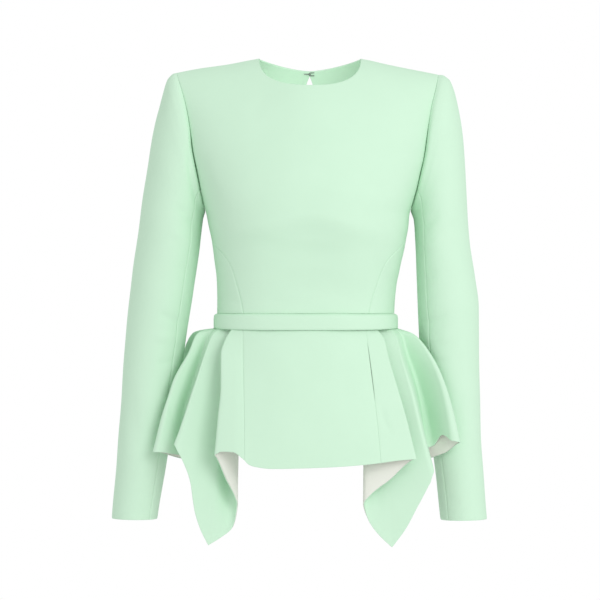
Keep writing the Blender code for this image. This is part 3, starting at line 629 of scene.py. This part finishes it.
def sheet_faces(rows, cols):
    """Faces of a closed wall: outside, inside and the four edges."""
    index = np.arange(rows * cols).reshape(rows, cols)
    a = index[:-1, :-1].ravel()
    b = index[:-1, 1:].ravel()
    c = index[1:, 1:].ravel()
    d = index[1:, :-1].ravel()
    back = rows * cols
    faces = [np.stack([a, b, c, d], 1), np.stack([d, c, b, a], 1) + back]
    for line, flip in ((index[0], False), (index[-1], True), (index[:, 0], True),
                       (index[:, -1], False)):
        p = line[:-1]
        q = line[1:]
        quad = np.stack([p, p + back, q + back, q], 1)
        faces.append(quad[:, ::-1] if flip else quad)
    return np.concatenate(faces).tolist()


def wall(name, points, normals, thick, mat, dips=None):
    """Closed sheet of cloth in place of the solid of the same name."""
    if dips is not None:
        points = points - normals * dips[..., None]
    inside = points - normals * thick
    if dips is not None:
        inside = inside + normals * np.minimum(dips, 0.35 * thick)[..., None]
    spots = np.concatenate([points.reshape(-1, 3), inside.reshape(-1, 3)]) * MM
    mesh = bpy.data.meshes.new(name + "_cloth")
    mesh.from_pydata(spots.tolist(), [], sheet_faces(*points.shape[:2]))
    mesh.polygons.foreach_set("use_smooth", [True] * len(mesh.polygons))
    mesh.materials.append(mat)
    mesh.update()
    piece = bpy.data.objects.new(name + "_cloth", mesh)
    bpy.context.scene.collection.objects.link(piece)
    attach(piece, "root")
    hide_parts(name)
    return piece


def creased(points, table, back=False):
    """How far soft creases, placed on the front or the back, sink each point."""
    sink = np.zeros(points.shape[:2])
    flat = points[..., [0, 2]]
    facing = (points[..., 1] - SHOULDER_Y) / 24.0
    side = np.clip(0.5 + (facing if back else -facing), 0.0, 1.0)
    for x0, z0, x1, z1, depth, width in table:
        start = np.array((x0, z0))
        way = np.array((x1, z1)) - start
        long = np.linalg.norm(way)
        way = way / long
        rel = flat - start
        t = rel @ way
        bow = 0.06 * long * np.sin(math.pi * np.clip(t / long, 0.0, 1.0))
        off = rel[..., 0] * way[1] - rel[..., 1] * way[0] - bow
        share = t / long
        ends = np.clip(np.minimum(share, 1 - share) / 0.4 + 0.1, 0.0, 1.0)
        ends = ends * ends * (3 - 2 * ends)
        sink += depth * ends * np.exp(-(off / width) ** 2) * side
    return sink


def ripple(points, much, size):
    """Slight unevenness of worn cloth."""
    x, y, z = (points[..., k] / size for k in range(3))
    return much * (np.sin(1.3 * x + 0.7 * z + 0.4) * np.sin(0.9 * z - 0.6 * y + 1.1)
                   + 0.5 * np.sin(2.1 * z + 1.7 * x - 0.8 * y))


def noise(nodes, scale, detail, rough, vector, links):
    node = nodes.new("ShaderNodeTexNoise")
    node.inputs["Scale"].default_value = scale
    node.inputs["Detail"].default_value = detail
    node.inputs["Roughness"].default_value = rough
    links.new(vector, node.inputs["Vector"])
    return node


def cloth_material(name, light, dark, roughness, sheen, grain, grain_height):
    """Matte cloth with a fine pebbled grain and a slight change of tone."""
    mat = bpy.data.materials.new(name)
    mat.use_nodes = True
    nodes = mat.node_tree.nodes
    links = mat.node_tree.links
    shader = nodes["Principled BSDF"]
    place = nodes.new("ShaderNodeTexCoord").outputs["Object"]
    tone = noise(nodes, 22.0, 3.0, 0.55, place, links)
    mix = nodes.new("ShaderNodeMix")
    mix.data_type = "RGBA"
    mix.inputs["A"].default_value = dark + (1.0,)
    mix.inputs["B"].default_value = light + (1.0,)
    links.new(tone.outputs["Fac"], mix.inputs["Factor"])
    links.new(mix.outputs["Result"], shader.inputs["Base Color"])
    pebble = noise(nodes, grain, 2.0, 0.6, place, links)
    bump = nodes.new("ShaderNodeBump")
    bump.inputs["Strength"].default_value = 0.35
    bump.inputs["Distance"].default_value = grain_height
    links.new(pebble.outputs["Fac"], bump.inputs["Height"])
    links.new(bump.outputs["Normal"], shader.inputs["Normal"])
    shader.inputs["Roughness"].default_value = roughness
    shader.inputs["Sheen Weight"].default_value = sheen
    shader.inputs["Sheen Roughness"].default_value = 0.5
    shader.inputs["Sheen Tint"].default_value = light + (1.0,)
    shader.inputs["Specular IOR Level"].default_value = 0.25
    return mat


def steel_material():
    mat = bpy.data.materials.new("steel")
    mat.use_nodes = True
    nodes = mat.node_tree.nodes
    links = mat.node_tree.links
    shader = nodes["Principled BSDF"]
    place = nodes.new("ShaderNodeTexCoord").outputs["Object"]
    wear = noise(nodes, 900.0, 2.0, 0.5, place, links)
    ramp = nodes.new("ShaderNodeMapRange")
    ramp.inputs["To Min"].default_value = 0.25
    ramp.inputs["To Max"].default_value = 0.45
    links.new(wear.outputs["Fac"], ramp.inputs["Value"])
    links.new(ramp.outputs["Result"], shader.inputs["Roughness"])
    shader.inputs["Base Color"].default_value = (0.16, 0.16, 0.17, 1.0)
    shader.inputs["Metallic"].default_value = 1.0
    return mat


def armhole_line(left, front, count=97):
    """Armhole from the shoulder down to the underarm, in the form's coordinates."""
    x_top = SHOULDER_LEFT if left else SHOULDER_RIGHT
    z_top = shoulder_height(x_top)
    k = np.linspace(0, 1, count)
    z = z_top + (ARMHOLE_LOW - z_top) * (1 - np.cos(math.pi * k)) / 2
    a = armhole_turn(z)
    a[-1] = 0.0
    a[0] = math.acos((abs(x_top) / float(form_width(z_top, left))) ** (FORM_POWER / 2))
    if front:
        turn = math.pi - a if left else a
    else:
        turn = math.pi + a if left else 2 * math.pi - a
    return np.stack([turn, z], axis=1)


def shoulder_line(start, end, front, count=60):
    x = np.linspace(start, end, count)
    z = shoulder_height(x)
    return np.stack([turn_of(x, z, front), z], axis=1)


def neck_line(drop, front, start, end, count=120):
    """Neck edge between two angles of its own oval, 0 right and 1 left."""
    a = math.pi * np.linspace(start, end, count)
    c = np.cos(a)
    if front:
        x = NECK_MIDDLE + NECK_HALF * np.sign(c) * np.abs(c) ** (2 / NECK_POWER)
        z = -drop * np.abs(np.sin(a)) ** (2 / NECK_POWER)
    else:
        x = NECK_MIDDLE + NECK_HALF * c
        z = -drop * (1 - np.abs(c) ** NECK_BACK_POWER)
    return np.stack([turn_of(x, z, front), z], axis=1)


def curved_seam(left, count=80):
    z = np.linspace(SEAM_FOOT, BAND_TOP, count)
    a = np.radians(curve(z, CURVED_SEAM[:, 0], CURVED_SEAM[:, 1]))
    return np.stack([math.pi - a if left else a, z], axis=1)


def armhole_shares():
    """Rows down the armhole, not crowded at its foot, where they would cross."""
    shares = spaced(200.0, 56, last=False)
    return np.append(shares[shares < ARMHOLE_LAST_ROW], 1.0)


def front_edge(left):
    side = math.pi if left else 0.0
    z = np.linspace(ARMHOLE_LOW, SEAM_FOOT, 14)
    side_part = np.stack([np.full(len(z), side), z], axis=1)
    return joined([(armhole_line(left, True), armhole_shares()),
                   (side_part, np.linspace(0, 1, 12)),
                   (curved_seam(left), spaced(140.0, 56, first=False))])


def joined(parts):
    """Join dense lines, each taken at its own shares, without doubling their ends."""
    out = []
    for line, shares in parts:
        out.append(along(line, shares)[1 if out else 0:])
    return np.concatenate(out)


def length_shares(line):
    """How far round the body each point of a line lies, from 0 to 1."""
    points = body(line[:, 0], line[:, 1])
    steps = np.linalg.norm(np.diff(points, axis=0), axis=1)
    total = np.concatenate([[0.0], np.cumsum(steps)])
    return total / total[-1]


def keyhole_half(z):
    q = np.clip((KEYHOLE_TOP - z) / (KEYHOLE_TOP - KEYHOLE_LOW), 0.0, 1.0)
    return KEYHOLE_HALF / 0.370 * q ** 1.1 * (1 - q) ** 0.5


def panel_dips(rows):
    """Seam dips down an edge that starts with the armhole, where they are slight."""
    share = np.clip((ARMHOLE_LOW - rows) / 20.0, 0.0, 1.0)
    return (ARMHOLE_DIP + (SEAM_DIP - ARMHOLE_DIP) * share)[:, None]


def finish_panel(name, grid, mat, creases, ends):
    points = body(grid[..., 0], grid[..., 1])
    normals = body_normal(grid[..., 0], grid[..., 1])
    sink = creases(points)
    dips = edge_dips(points, *ends)
    points = pull_in(points, SEAM_HALF, SEAM_HALF, 0.0, SEAM_HALF)
    points = points - normals * sink[..., None]
    wall(name, points, normals, BODICE_WALL, mat, dips=dips)


def front_creases(points):
    return ripple(points, 0.25, 38.0) + creased(points, CREASES_FRONT)


def back_creases(points):
    return ripple(points, 0.3, 34.0) + creased(points, CREASES_BACK, True)


def build_bodice(mat):
    right = front_edge(False)
    left = front_edge(True)
    neck_right = NECK_MIDDLE + NECK_HALF
    neck_left = NECK_MIDDLE - NECK_HALF
    top = joined([
        (shoulder_line(SHOULDER_RIGHT, neck_right, True), spaced(108.0, 30, last=False)),
        (neck_line(NECK_FRONT_DROP, True, 0.0, 1.0), np.linspace(0, 1, 91)),
        (shoulder_line(neck_left, SHOULDER_LEFT, True), spaced(108.0, 30, first=False))])
    across = length_shares(top)
    low = right[-1] + (left[-1] - right[-1]) * across[:, None]
    drop = (left[0, 1] - left[:, 1]) / (left[0, 1] - left[-1, 1])
    grid = blend(top, low, right, left, drop, across)
    sides = panel_dips(right[:, 1])
    finish_panel("bodice_front", grid, mat, front_creases, (sides, sides, NECK_DIP, BAND_SEAM_DIP))
    for left_side in (True, False):
        seam = curved_seam(left_side)
        seam = seam[seam[:, 1] <= SEAM_FOOT - 1.0]
        start = along(seam, spaced(140.0, 56, first=False))
        side = math.pi if left_side else 0.0
        end = np.stack([np.full(len(start), side), start[:, 1]], axis=1)
        if not left_side:
            start, end = end, start
        across = spaced(70.0, 24)
        grid = start[:, None] + (end - start)[:, None] * across[None, :, None]
        name = "side_front_l" if left_side else "side_front_r"
        finish_panel(name, grid, mat, front_creases, (SEAM_DIP, SEAM_DIP, 0.0, BAND_SEAM_DIP))


def centre_back(left):
    """Centre-back seam from the neck edge down, round the keyhole."""
    parts = ((-NECK_BACK_DROP, KEYHOLE_TOP, 5), (KEYHOLE_TOP, KEYHOLE_LOW, 27),
             (KEYHOLE_LOW, ARMHOLE_LOW, 29), (ARMHOLE_LOW, BAND_TOP, 54))
    lines = [np.linspace(high, low, steps)[1 if k else 0:]
             for k, (high, low, steps) in enumerate(parts)]
    z = np.concatenate(lines)
    x = NECK_MIDDLE * (BAND_TOP - z) / BAND_TOP
    away = np.maximum(keyhole_half(z), 0.02)
    x = x + (-away if left else away)
    return np.stack([turn_of(x, z, False), z], axis=1)


def build_back(mat):
    for left in (True, False):
        side = math.pi if left else 2 * math.pi
        middle = centre_back(left)
        armhole = armhole_shares()
        z = np.linspace(ARMHOLE_LOW, BAND_TOP, 60)
        side_part = np.stack([np.full(len(z), side), z], axis=1)
        below = len(middle) - len(armhole) + 1
        outer = joined([(armhole_line(left, False), armhole),
                        (side_part, np.linspace(0, 1, below))])
        neck = neck_line(NECK_BACK_DROP, False, 1.0 if left else 0.0, 0.5)
        neck[-1] = middle[0]
        shoulder = (SHOULDER_LEFT if left else SHOULDER_RIGHT,
                    NECK_MIDDLE + (-NECK_HALF if left else NECK_HALF))
        top = joined([
            (shoulder_line(shoulder[0], shoulder[1], False), spaced(108.0, 30, last=False)),
            (neck, spaced(75.0, 36, first=False))])
        start, end = outer, middle
        if not left:
            start, end = middle, outer
            top = top[::-1]
        across = length_shares(top)
        low = start[-1] + (end[-1] - start[-1]) * across[:, None]
        drop = (outer[0, 1] - outer[:, 1]) / (outer[0, 1] - outer[-1, 1])
        grid = blend(top, low, start, end, drop, across)
        side = panel_dips(outer[:, 1])
        ends = (side, CENTRE_DIP) if left else (CENTRE_DIP, side)
        finish_panel("back_l" if left else "back_r", grid, mat, back_creases,
                     ends + (NECK_DIP, BAND_SEAM_DIP))


def sleeve_rings(left):
    """Rings of one sleeve from the armhole to the wrist, clockwise from above."""
    table = SLEEVE_LEFT if left else SLEEVE_RIGHT
    half = SLEEVE_ROUND // 2
    front_line = armhole_line(left, True, half + 1)
    back_line = armhole_line(left, False, half + 1)
    front = body(front_line[:, 0], front_line[:, 1])
    back = body(back_line[:, 0], back_line[:, 1])
    hole = np.concatenate([front, back[::-1][1:-1]])
    outer = front[0]
    inner = front[half]
    deep = (back[half // 2, 1] - front[half // 2, 1]) / 2
    first = (outer[0], outer[2], inner[0], inner[2], SHOULDER_Y, deep)
    table = np.array((first,) + table)
    number = np.arange(len(table), dtype=float)
    lengths = np.linalg.norm(np.diff(table[:, :2], axis=0), axis=1)
    total = np.concatenate([[0.0], np.cumsum(lengths)])
    shares = spaced(total[-1], SLEEVE_ROWS)
    at = np.interp(shares * total[-1], total, number)
    rows = np.stack([curve(at, number, table[:, k]) for k in range(6)], axis=1)
    a = 2 * math.pi * np.arange(SLEEVE_ROUND) / SLEEVE_ROUND
    c = np.cos(a)[None, :]
    s = np.sin(a)[None, :]
    ox, oz, ix, iz, my, hd = (rows[:, k][:, None] for k in range(6))
    points = np.stack([(ox + ix) / 2 + c * (ox - ix) / 2, my - s * hd,
                       (oz + iz) / 2 + c * (oz - iz) / 2], axis=2)
    plain = np.stack([(outer[0] + inner[0]) / 2 + c * (outer[0] - inner[0]) / 2,
                      SHOULDER_Y - s * deep,
                      (outer[2] + inner[2]) / 2 + c * (outer[2] - inner[2]) / 2], axis=2)
    fade = np.maximum(0.0, 1.0 - at / 5.0) ** 1.5
    points = points + (hole[None] - plain) * fade[:, None, None]
    return points[:, ::-1] if left else points


def sleeve_creases(points, left):
    front = CREASES_SLEEVE_LEFT if left else CREASES_SLEEVE_RIGHT
    back = CREASES_SLEEVE_BACK_LEFT if left else CREASES_SLEEVE_BACK_RIGHT
    steps = np.linalg.norm(np.diff(points, axis=0), axis=2)
    far = np.concatenate([np.zeros((1, points.shape[1])), np.cumsum(steps, axis=0)], axis=0)
    place, high, wide = ROPE
    upper = np.clip((points[..., 2] + 190.0) / 80.0, 0.0, 1.0)
    rope = high * upper * np.exp(-((far - place) / wide) ** 2)
    return (ripple(points, 0.35, 30.0) + creased(points, front) + creased(points, back, True)
            - rope)


def build_sleeves(mat):
    for left in (True, False):
        points = sleeve_rings(left)
        normals = grid_normals(points, closed=True)
        points = points - normals * sleeve_creases(points, left)[..., None]
        normals = grid_normals(points, closed=True)
        count = SLEEVE_ROUND
        seam = int(round(SLEEVE_SEAM_SHARE * count / 2))
        first = (count - 1 - seam) if left else -seam
        top_cols = [(first + k) % count for k in range(2 * seam + 1)]
        under_cols = [(first + 2 * seam + k) % count for k in range(count - 2 * seam + 1)]
        for word, cols in (("top", top_cols), ("under", under_cols)):
            part = points[:, cols]
            part = refine_sides(part)
            way = refine_sides(normals[:, cols])
            dips = edge_dips(part, SEAM_DIP, SEAM_DIP, ARMHOLE_DIP, CUFF_DIP)
            part = pull_in(part, SEAM_HALF, SEAM_HALF, 0.0, 0.0)
            name = word + ("_sleeve_l" if left else "_sleeve_r")
            wall(name, part, unit(way), SLEEVE_WALL, mat, dips=dips)


def refine_sides(grid):
    """Add columns close to the first and last ones, so that a seam can sink there."""
    shares = (0.15, 0.35, 0.65)
    first = [grid[:, 0] + (grid[:, 1] - grid[:, 0]) * t for t in shares]
    last = [grid[:, -2] + (grid[:, -1] - grid[:, -2]) * (1 - t) for t in shares[::-1]]
    parts = [grid[:, :1]] + [c[:, None] for c in first] + [grid[:, 1:-1]]
    parts += [c[:, None] for c in last] + [grid[:, -1:]]
    return np.concatenate(parts, axis=1)


def band_low(y):
    return BAND_LOW + BAND_SAG * np.minimum(y, 0.0)


def build_band(mat):
    count = BAND_STEPS
    turn = 2 * math.pi * np.arange(count + 1) / count
    p = body(turn, np.full(count + 1, BAND_TOP))
    n = body_normal(turn, np.full(count + 1, BAND_TOP))
    n[:, 2] = 0.0
    n = unit(n)
    shares = np.array(BAND_ROWS)
    out = curve(shares, BAND_PROFILE[:, 0], BAND_PROFILE[:, 1])
    points = p[None] + n[None] * out[:, None, None]
    low = band_low(points[..., 1])
    points[..., 2] = BAND_TOP - 0.05 + (low - BAND_TOP + 0.1) * shares[:, None]
    normals = grid_normals(points[:, :-1], closed=True)
    normals = np.concatenate([normals, normals[:, :1]], axis=1)
    points = points - normals * ripple(points, 0.2, 18.0)[..., None]
    cuts = (("waistband_front", 0, count // 2),
            ("waistband_back_l", count // 2, 3 * count // 4),
            ("waistband_back_r", 3 * count // 4, count))
    for name, a, b in cuts:
        part = refine_sides(points[:, a:b + 1])
        way = unit(refine_sides(normals[:, a:b + 1]))
        dips = edge_dips(part, SEAM_DIP, SEAM_DIP, 0.0, BAND_HEM_DIP)
        part = pull_in(part, SEAM_HALF, SEAM_HALF, 0.0, 0.0)
        wall(name, part, way, BAND_WALL, mat, dips=dips)


def tangent(c1, r1, s1, c2, r2, s2):
    """Straight run from one round fold to the next; s is the way each turns."""
    gap = c2 - c1
    long = math.hypot(gap[0], gap[1])
    base = math.atan2(gap[1], gap[0])
    lean = math.asin(max(-1.0, min(1.0, (s1 * r1 - s2 * r2) / long)))
    a = base + lean
    n = np.array((math.sin(a), -math.cos(a)))
    return c1 + s1 * r1 * n, c2 + s2 * r2 * n


def fold_line(folds, level, start, end, mirror):
    """Cloth laid round its folds at one level, seen from above."""
    share = LEVELS[level]
    centres = [np.array(start)]
    radii = [0.0]
    ways = [1.0]
    for _, way, xs, ys, r_top, r_low in folds:
        r = r_top + (r_low - r_top) * share
        x = -xs[level] if mirror else xs[level]
        centres.append(np.array((x + way * r, ys[level])))
        radii.append(r)
        ways.append(-float(way))
    centres.append(np.array(end))
    radii.append(0.0)
    ways.append(1.0)
    runs = []
    for i in range(len(centres) - 1):
        runs.append(tangent(centres[i], radii[i], ways[i],
                            centres[i + 1], radii[i + 1], ways[i + 1]))
    spots = []
    marks = []
    for i, (a, b) in enumerate(runs):
        steps = RUN_STEPS[i]
        for k in range(steps):
            f = k / steps
            if i == 2:
                tip = TIP_RIGHT if mirror else TIP_LEFT
                f = 2 * f * tip if f <= 0.5 else tip + (2 * f - 1) * (1 - tip)
            spots.append(a + (b - a) * f)
            marks.append(i + 0.08 + 0.84 * k / steps if i else k / steps * 0.92)
        if i == len(runs) - 1:
            spots.append(b)
            marks.append(float(i + 1))
            break
        c = centres[i + 1]
        nxt = runs[i + 1][0]
        a0 = math.atan2(b[1] - c[1], b[0] - c[0])
        a1 = math.atan2(nxt[1] - c[1], nxt[0] - c[0])
        way = ways[i + 1]
        sweep = (a1 - a0) * way % (2 * math.pi)
        steps = TURN_STEPS[i]
        before = unit(b - a)
        after = unit(runs[i + 1][1] - nxt)
        for k in range(steps):
            a2 = a0 + way * sweep * k / steps
            spot = c + radii[i + 1] * np.array((math.cos(a2), math.sin(a2)))
            if sweep > 1.5 * math.pi:
                share = k / steps
                spot = (1 - share) * (b - 2.5 * before) + share * (nxt + 2.5 * after)
            spots.append(spot)
            marks.append(i + 1 - 0.08 + 0.16 * k / steps)
    out = np.array(spots)
    if mirror:
        out[:, 0] = -out[:, 0]
    return out, marks


def drop_rows():
    return spaced(180.0, DROP_ROWS)


def cascade_grid(left):
    folds = FOLDS_LEFT if left else FOLDS_RIGHT
    hem = HEM_LEFT if left else HEM_RIGHT
    lines = []
    for level in range(len(LEVELS)):
        row = PEPLUM_FRONT[level]
        start = (row[0] if left else -row[1], row[2])
        line, marks = fold_line(folds, level, start, (0.0, BACK_MIDDLE[level]), not left)
        lines.append(line)
    lines = np.array(lines)
    drops = curve(marks, hem[:, 0], hem[:, 1])
    rows = drop_rows()
    grid = np.zeros((len(rows), lines.shape[1], 3))
    for j in range(lines.shape[1]):
        top = band_low(lines[0, j, 1]) - 0.1
        grid[:, j, 0] = curve(rows, LEVELS, lines[:, j, 0])
        grid[:, j, 1] = curve(rows, LEVELS, lines[:, j, 1])
        for place, wide, depths in VALLEYS_LEFT if left else VALLEYS_RIGHT:
            near = math.exp(-((marks[j] - place) / wide) ** 2)
            grid[:, j, 1] += near * curve(rows, LEVELS, depths)
        flare = np.interp(marks[j], FLARE_FOLDS, (0.0, 1.0, 1.0, 0.0))
        flare *= FLARE_LEFT if left else FLARE_RIGHT
        share = rows * (1 - flare * np.exp(-(rows / FLARE_REACH) ** 2))
        grid[:, j, 2] = top + (drops[j] - top) * share
    return grid


def front_grid(steps):
    rows = drop_rows()
    table = [curve(rows, LEVELS, PEPLUM_FRONT[:, k])[:, None] for k in range(4)]
    lx, rx, ey, my = table
    s = (np.arange(steps + 1) / steps)[None, :]
    x = rx + (lx - rx) * s
    y = my + (ey - my) * np.abs(2 * s - 1) ** 2.3
    top = band_low(y) - 0.1
    end = curve(x, HEM_FRONT[:, 0], HEM_FRONT[:, 1])
    return np.stack([x, y, top + (end - top) * rows[:, None]], axis=2)


def side_seam_step():
    """Column at the middle of the fold where the side seam lies."""
    return sum(RUN_STEPS[:SIDE_FOLD]) + sum(TURN_STEPS[:SIDE_FOLD - 1]) + TURN_STEPS[SIDE_FOLD - 1] // 2


def slit(z):
    """Half width of the open seam at each height."""
    high, low, half = SLIT
    share = np.clip((high - z) / (high - low), 0.0, 1.0)
    return (SEAM_HALF + half * np.sin(math.pi * share) ** 0.6)[:, None]


def build_peplum(mat, lining):
    left = cascade_grid(True)
    right = cascade_grid(False)[:, ::-1]
    front = front_grid(FRONT_STEPS)
    whole = np.concatenate([right[:, :-1], front[:, :-1], left], axis=1)
    normals = grid_normals(whole)
    for j in (0, -1):
        normals[:, j, 0] = 0.0
        normals[:, j] = unit(normals[:, j])
    sink = ripple(whole, 0.25, 26.0) + creased(whole, CREASES_PEPLUM)
    whole = whole - normals * sink[..., None]
    a = right.shape[1] - 1
    b = a + FRONT_STEPS
    step = side_seam_step()
    last = whole.shape[1] - 1
    cuts = (("peplum_back_r", 0, a - step), ("peplum_side_r", a - step, a),
            ("peplum_front", a, b), ("peplum_side_l", b, b + step),
            ("peplum_back_l", b + step, last))
    for name, i, j in cuts:
        part = whole[:, i:j + 1]
        open_by = slit(part[:, 0, 2]) if name == "peplum_front" else SEAM_HALF
        open_to = slit(part[:, -1, 2]) if name == "peplum_side_r" else SEAM_HALF
        part = refine_sides(pull_in(part, open_by, open_to, 0.0, 0.0))
        way = unit(refine_sides(normals[:, i:j + 1]))
        dips = edge_dips(part, PEPLUM_SEAM_DIP, PEPLUM_SEAM_DIP, 0.0, PEPLUM_HEM_DIP)
        wall(name, part, way, PEPLUM_WALL, mat, dips=dips)
    first = int(LINING_FROM * len(whole))
    for name, i, j in (("cascade_lining_l", b, b + step), ("cascade_lining_r", a - step, a)):
        way = normals[first:, i:j + 1]
        back = whole[first:, i:j + 1] - way * (PEPLUM_WALL + LINING_SPACE)
        back = pull_in(back, LINING_SHORT, LINING_SHORT, 0.0, LINING_SHORT)
        wall(name, back, way, LINING_WALL, lining)


def area_light(name, place, target, size, power, colour=(1.0, 1.0, 1.0)):
    data = bpy.data.lights.new(name, "AREA")
    data.shape = "RECTANGLE"
    data.size = size[0]
    data.size_y = size[1]
    data.energy = power
    data.color = colour
    lamp = bpy.data.objects.new(name, data)
    lamp.visible_camera = False
    way = np.array(place) - np.array(target)
    lamp.location = place
    flat = math.hypot(way[0], way[1])
    lamp.rotation_euler = (math.atan2(flat, way[2]), 0.0, math.atan2(way[0], -way[1]))
    bpy.context.scene.collection.objects.link(lamp)


def studio():
    """White surroundings, softer as light than they look, with a key from the right."""
    scene = bpy.context.scene
    scene.view_settings.view_transform = "Standard"
    world = bpy.data.worlds.new("studio")
    world.use_nodes = True
    nodes = world.node_tree.nodes
    links = world.node_tree.links
    sky = nodes["Background"]
    sky.inputs["Color"].default_value = (1.0, 1.0, 1.0, 1.0)
    seen = nodes.new("ShaderNodeLightPath").outputs["Is Camera Ray"]
    strength = nodes.new("ShaderNodeMapRange")
    strength.inputs["To Min"].default_value = SKY_LIGHT
    strength.inputs["To Max"].default_value = 1.0
    links.new(seen, strength.inputs["Value"])
    links.new(strength.outputs["Result"], sky.inputs["Strength"])
    scene.world = world
    mesh = bpy.data.meshes.new("floor")
    size = FLOOR_SIZE
    mesh.from_pydata([(-size, -size, FLOOR_Z), (size, -size, FLOOR_Z), (size, size, FLOOR_Z),
                      (-size, size, FLOOR_Z)], [], [(0, 1, 2, 3)])
    floor = bpy.data.objects.new("floor", mesh)
    scene.collection.objects.link(floor)
    pale = bpy.data.materials.new("pale_floor")
    pale.use_nodes = True
    shader = pale.node_tree.nodes["Principled BSDF"]
    shader.inputs["Base Color"].default_value = (0.9, 0.9, 0.9, 1.0)
    shader.inputs["Roughness"].default_value = 0.9
    mesh.materials.append(pale)
    for lamp in LAMPS:
        area_light(*lamp)


def camera():
    data = bpy.data.cameras.new("camera")
    data.sensor_width = SENSOR * 1000
    data.lens = SENSOR * 1000 * abs(CAMERA_Y) / VIEW_WIDTH
    data.clip_end = 100.0
    eye = bpy.data.objects.new("camera", data)
    eye.location = (CAMERA_X, CAMERA_Y, CAMERA_Z)
    eye.rotation_euler = (math.radians(90.0), 0.0, 0.0)
    bpy.context.scene.collection.objects.link(eye)
    bpy.context.scene.camera = eye


def main():
    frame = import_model()
    mint = cloth_material("mint_crepe", MINT_LIGHT, MINT_DARK, 0.85, 0.15, 1100.0, 0.0004)
    cream = cloth_material("cream_lining", CREAM_LIGHT, CREAM_DARK, 0.6, 0.1, 1600.0, 0.0002)
    build_bodice(mint)
    build_back(mint)
    build_sleeves(mint)
    build_band(mint)
    build_peplum(mint, cream)
    steel = steel_material()
    for name in ("hook", "eye"):
        frame["nodes"][name].data.materials.clear()
        frame["nodes"][name].data.materials.append(steel)
    camera()
    studio()


main()
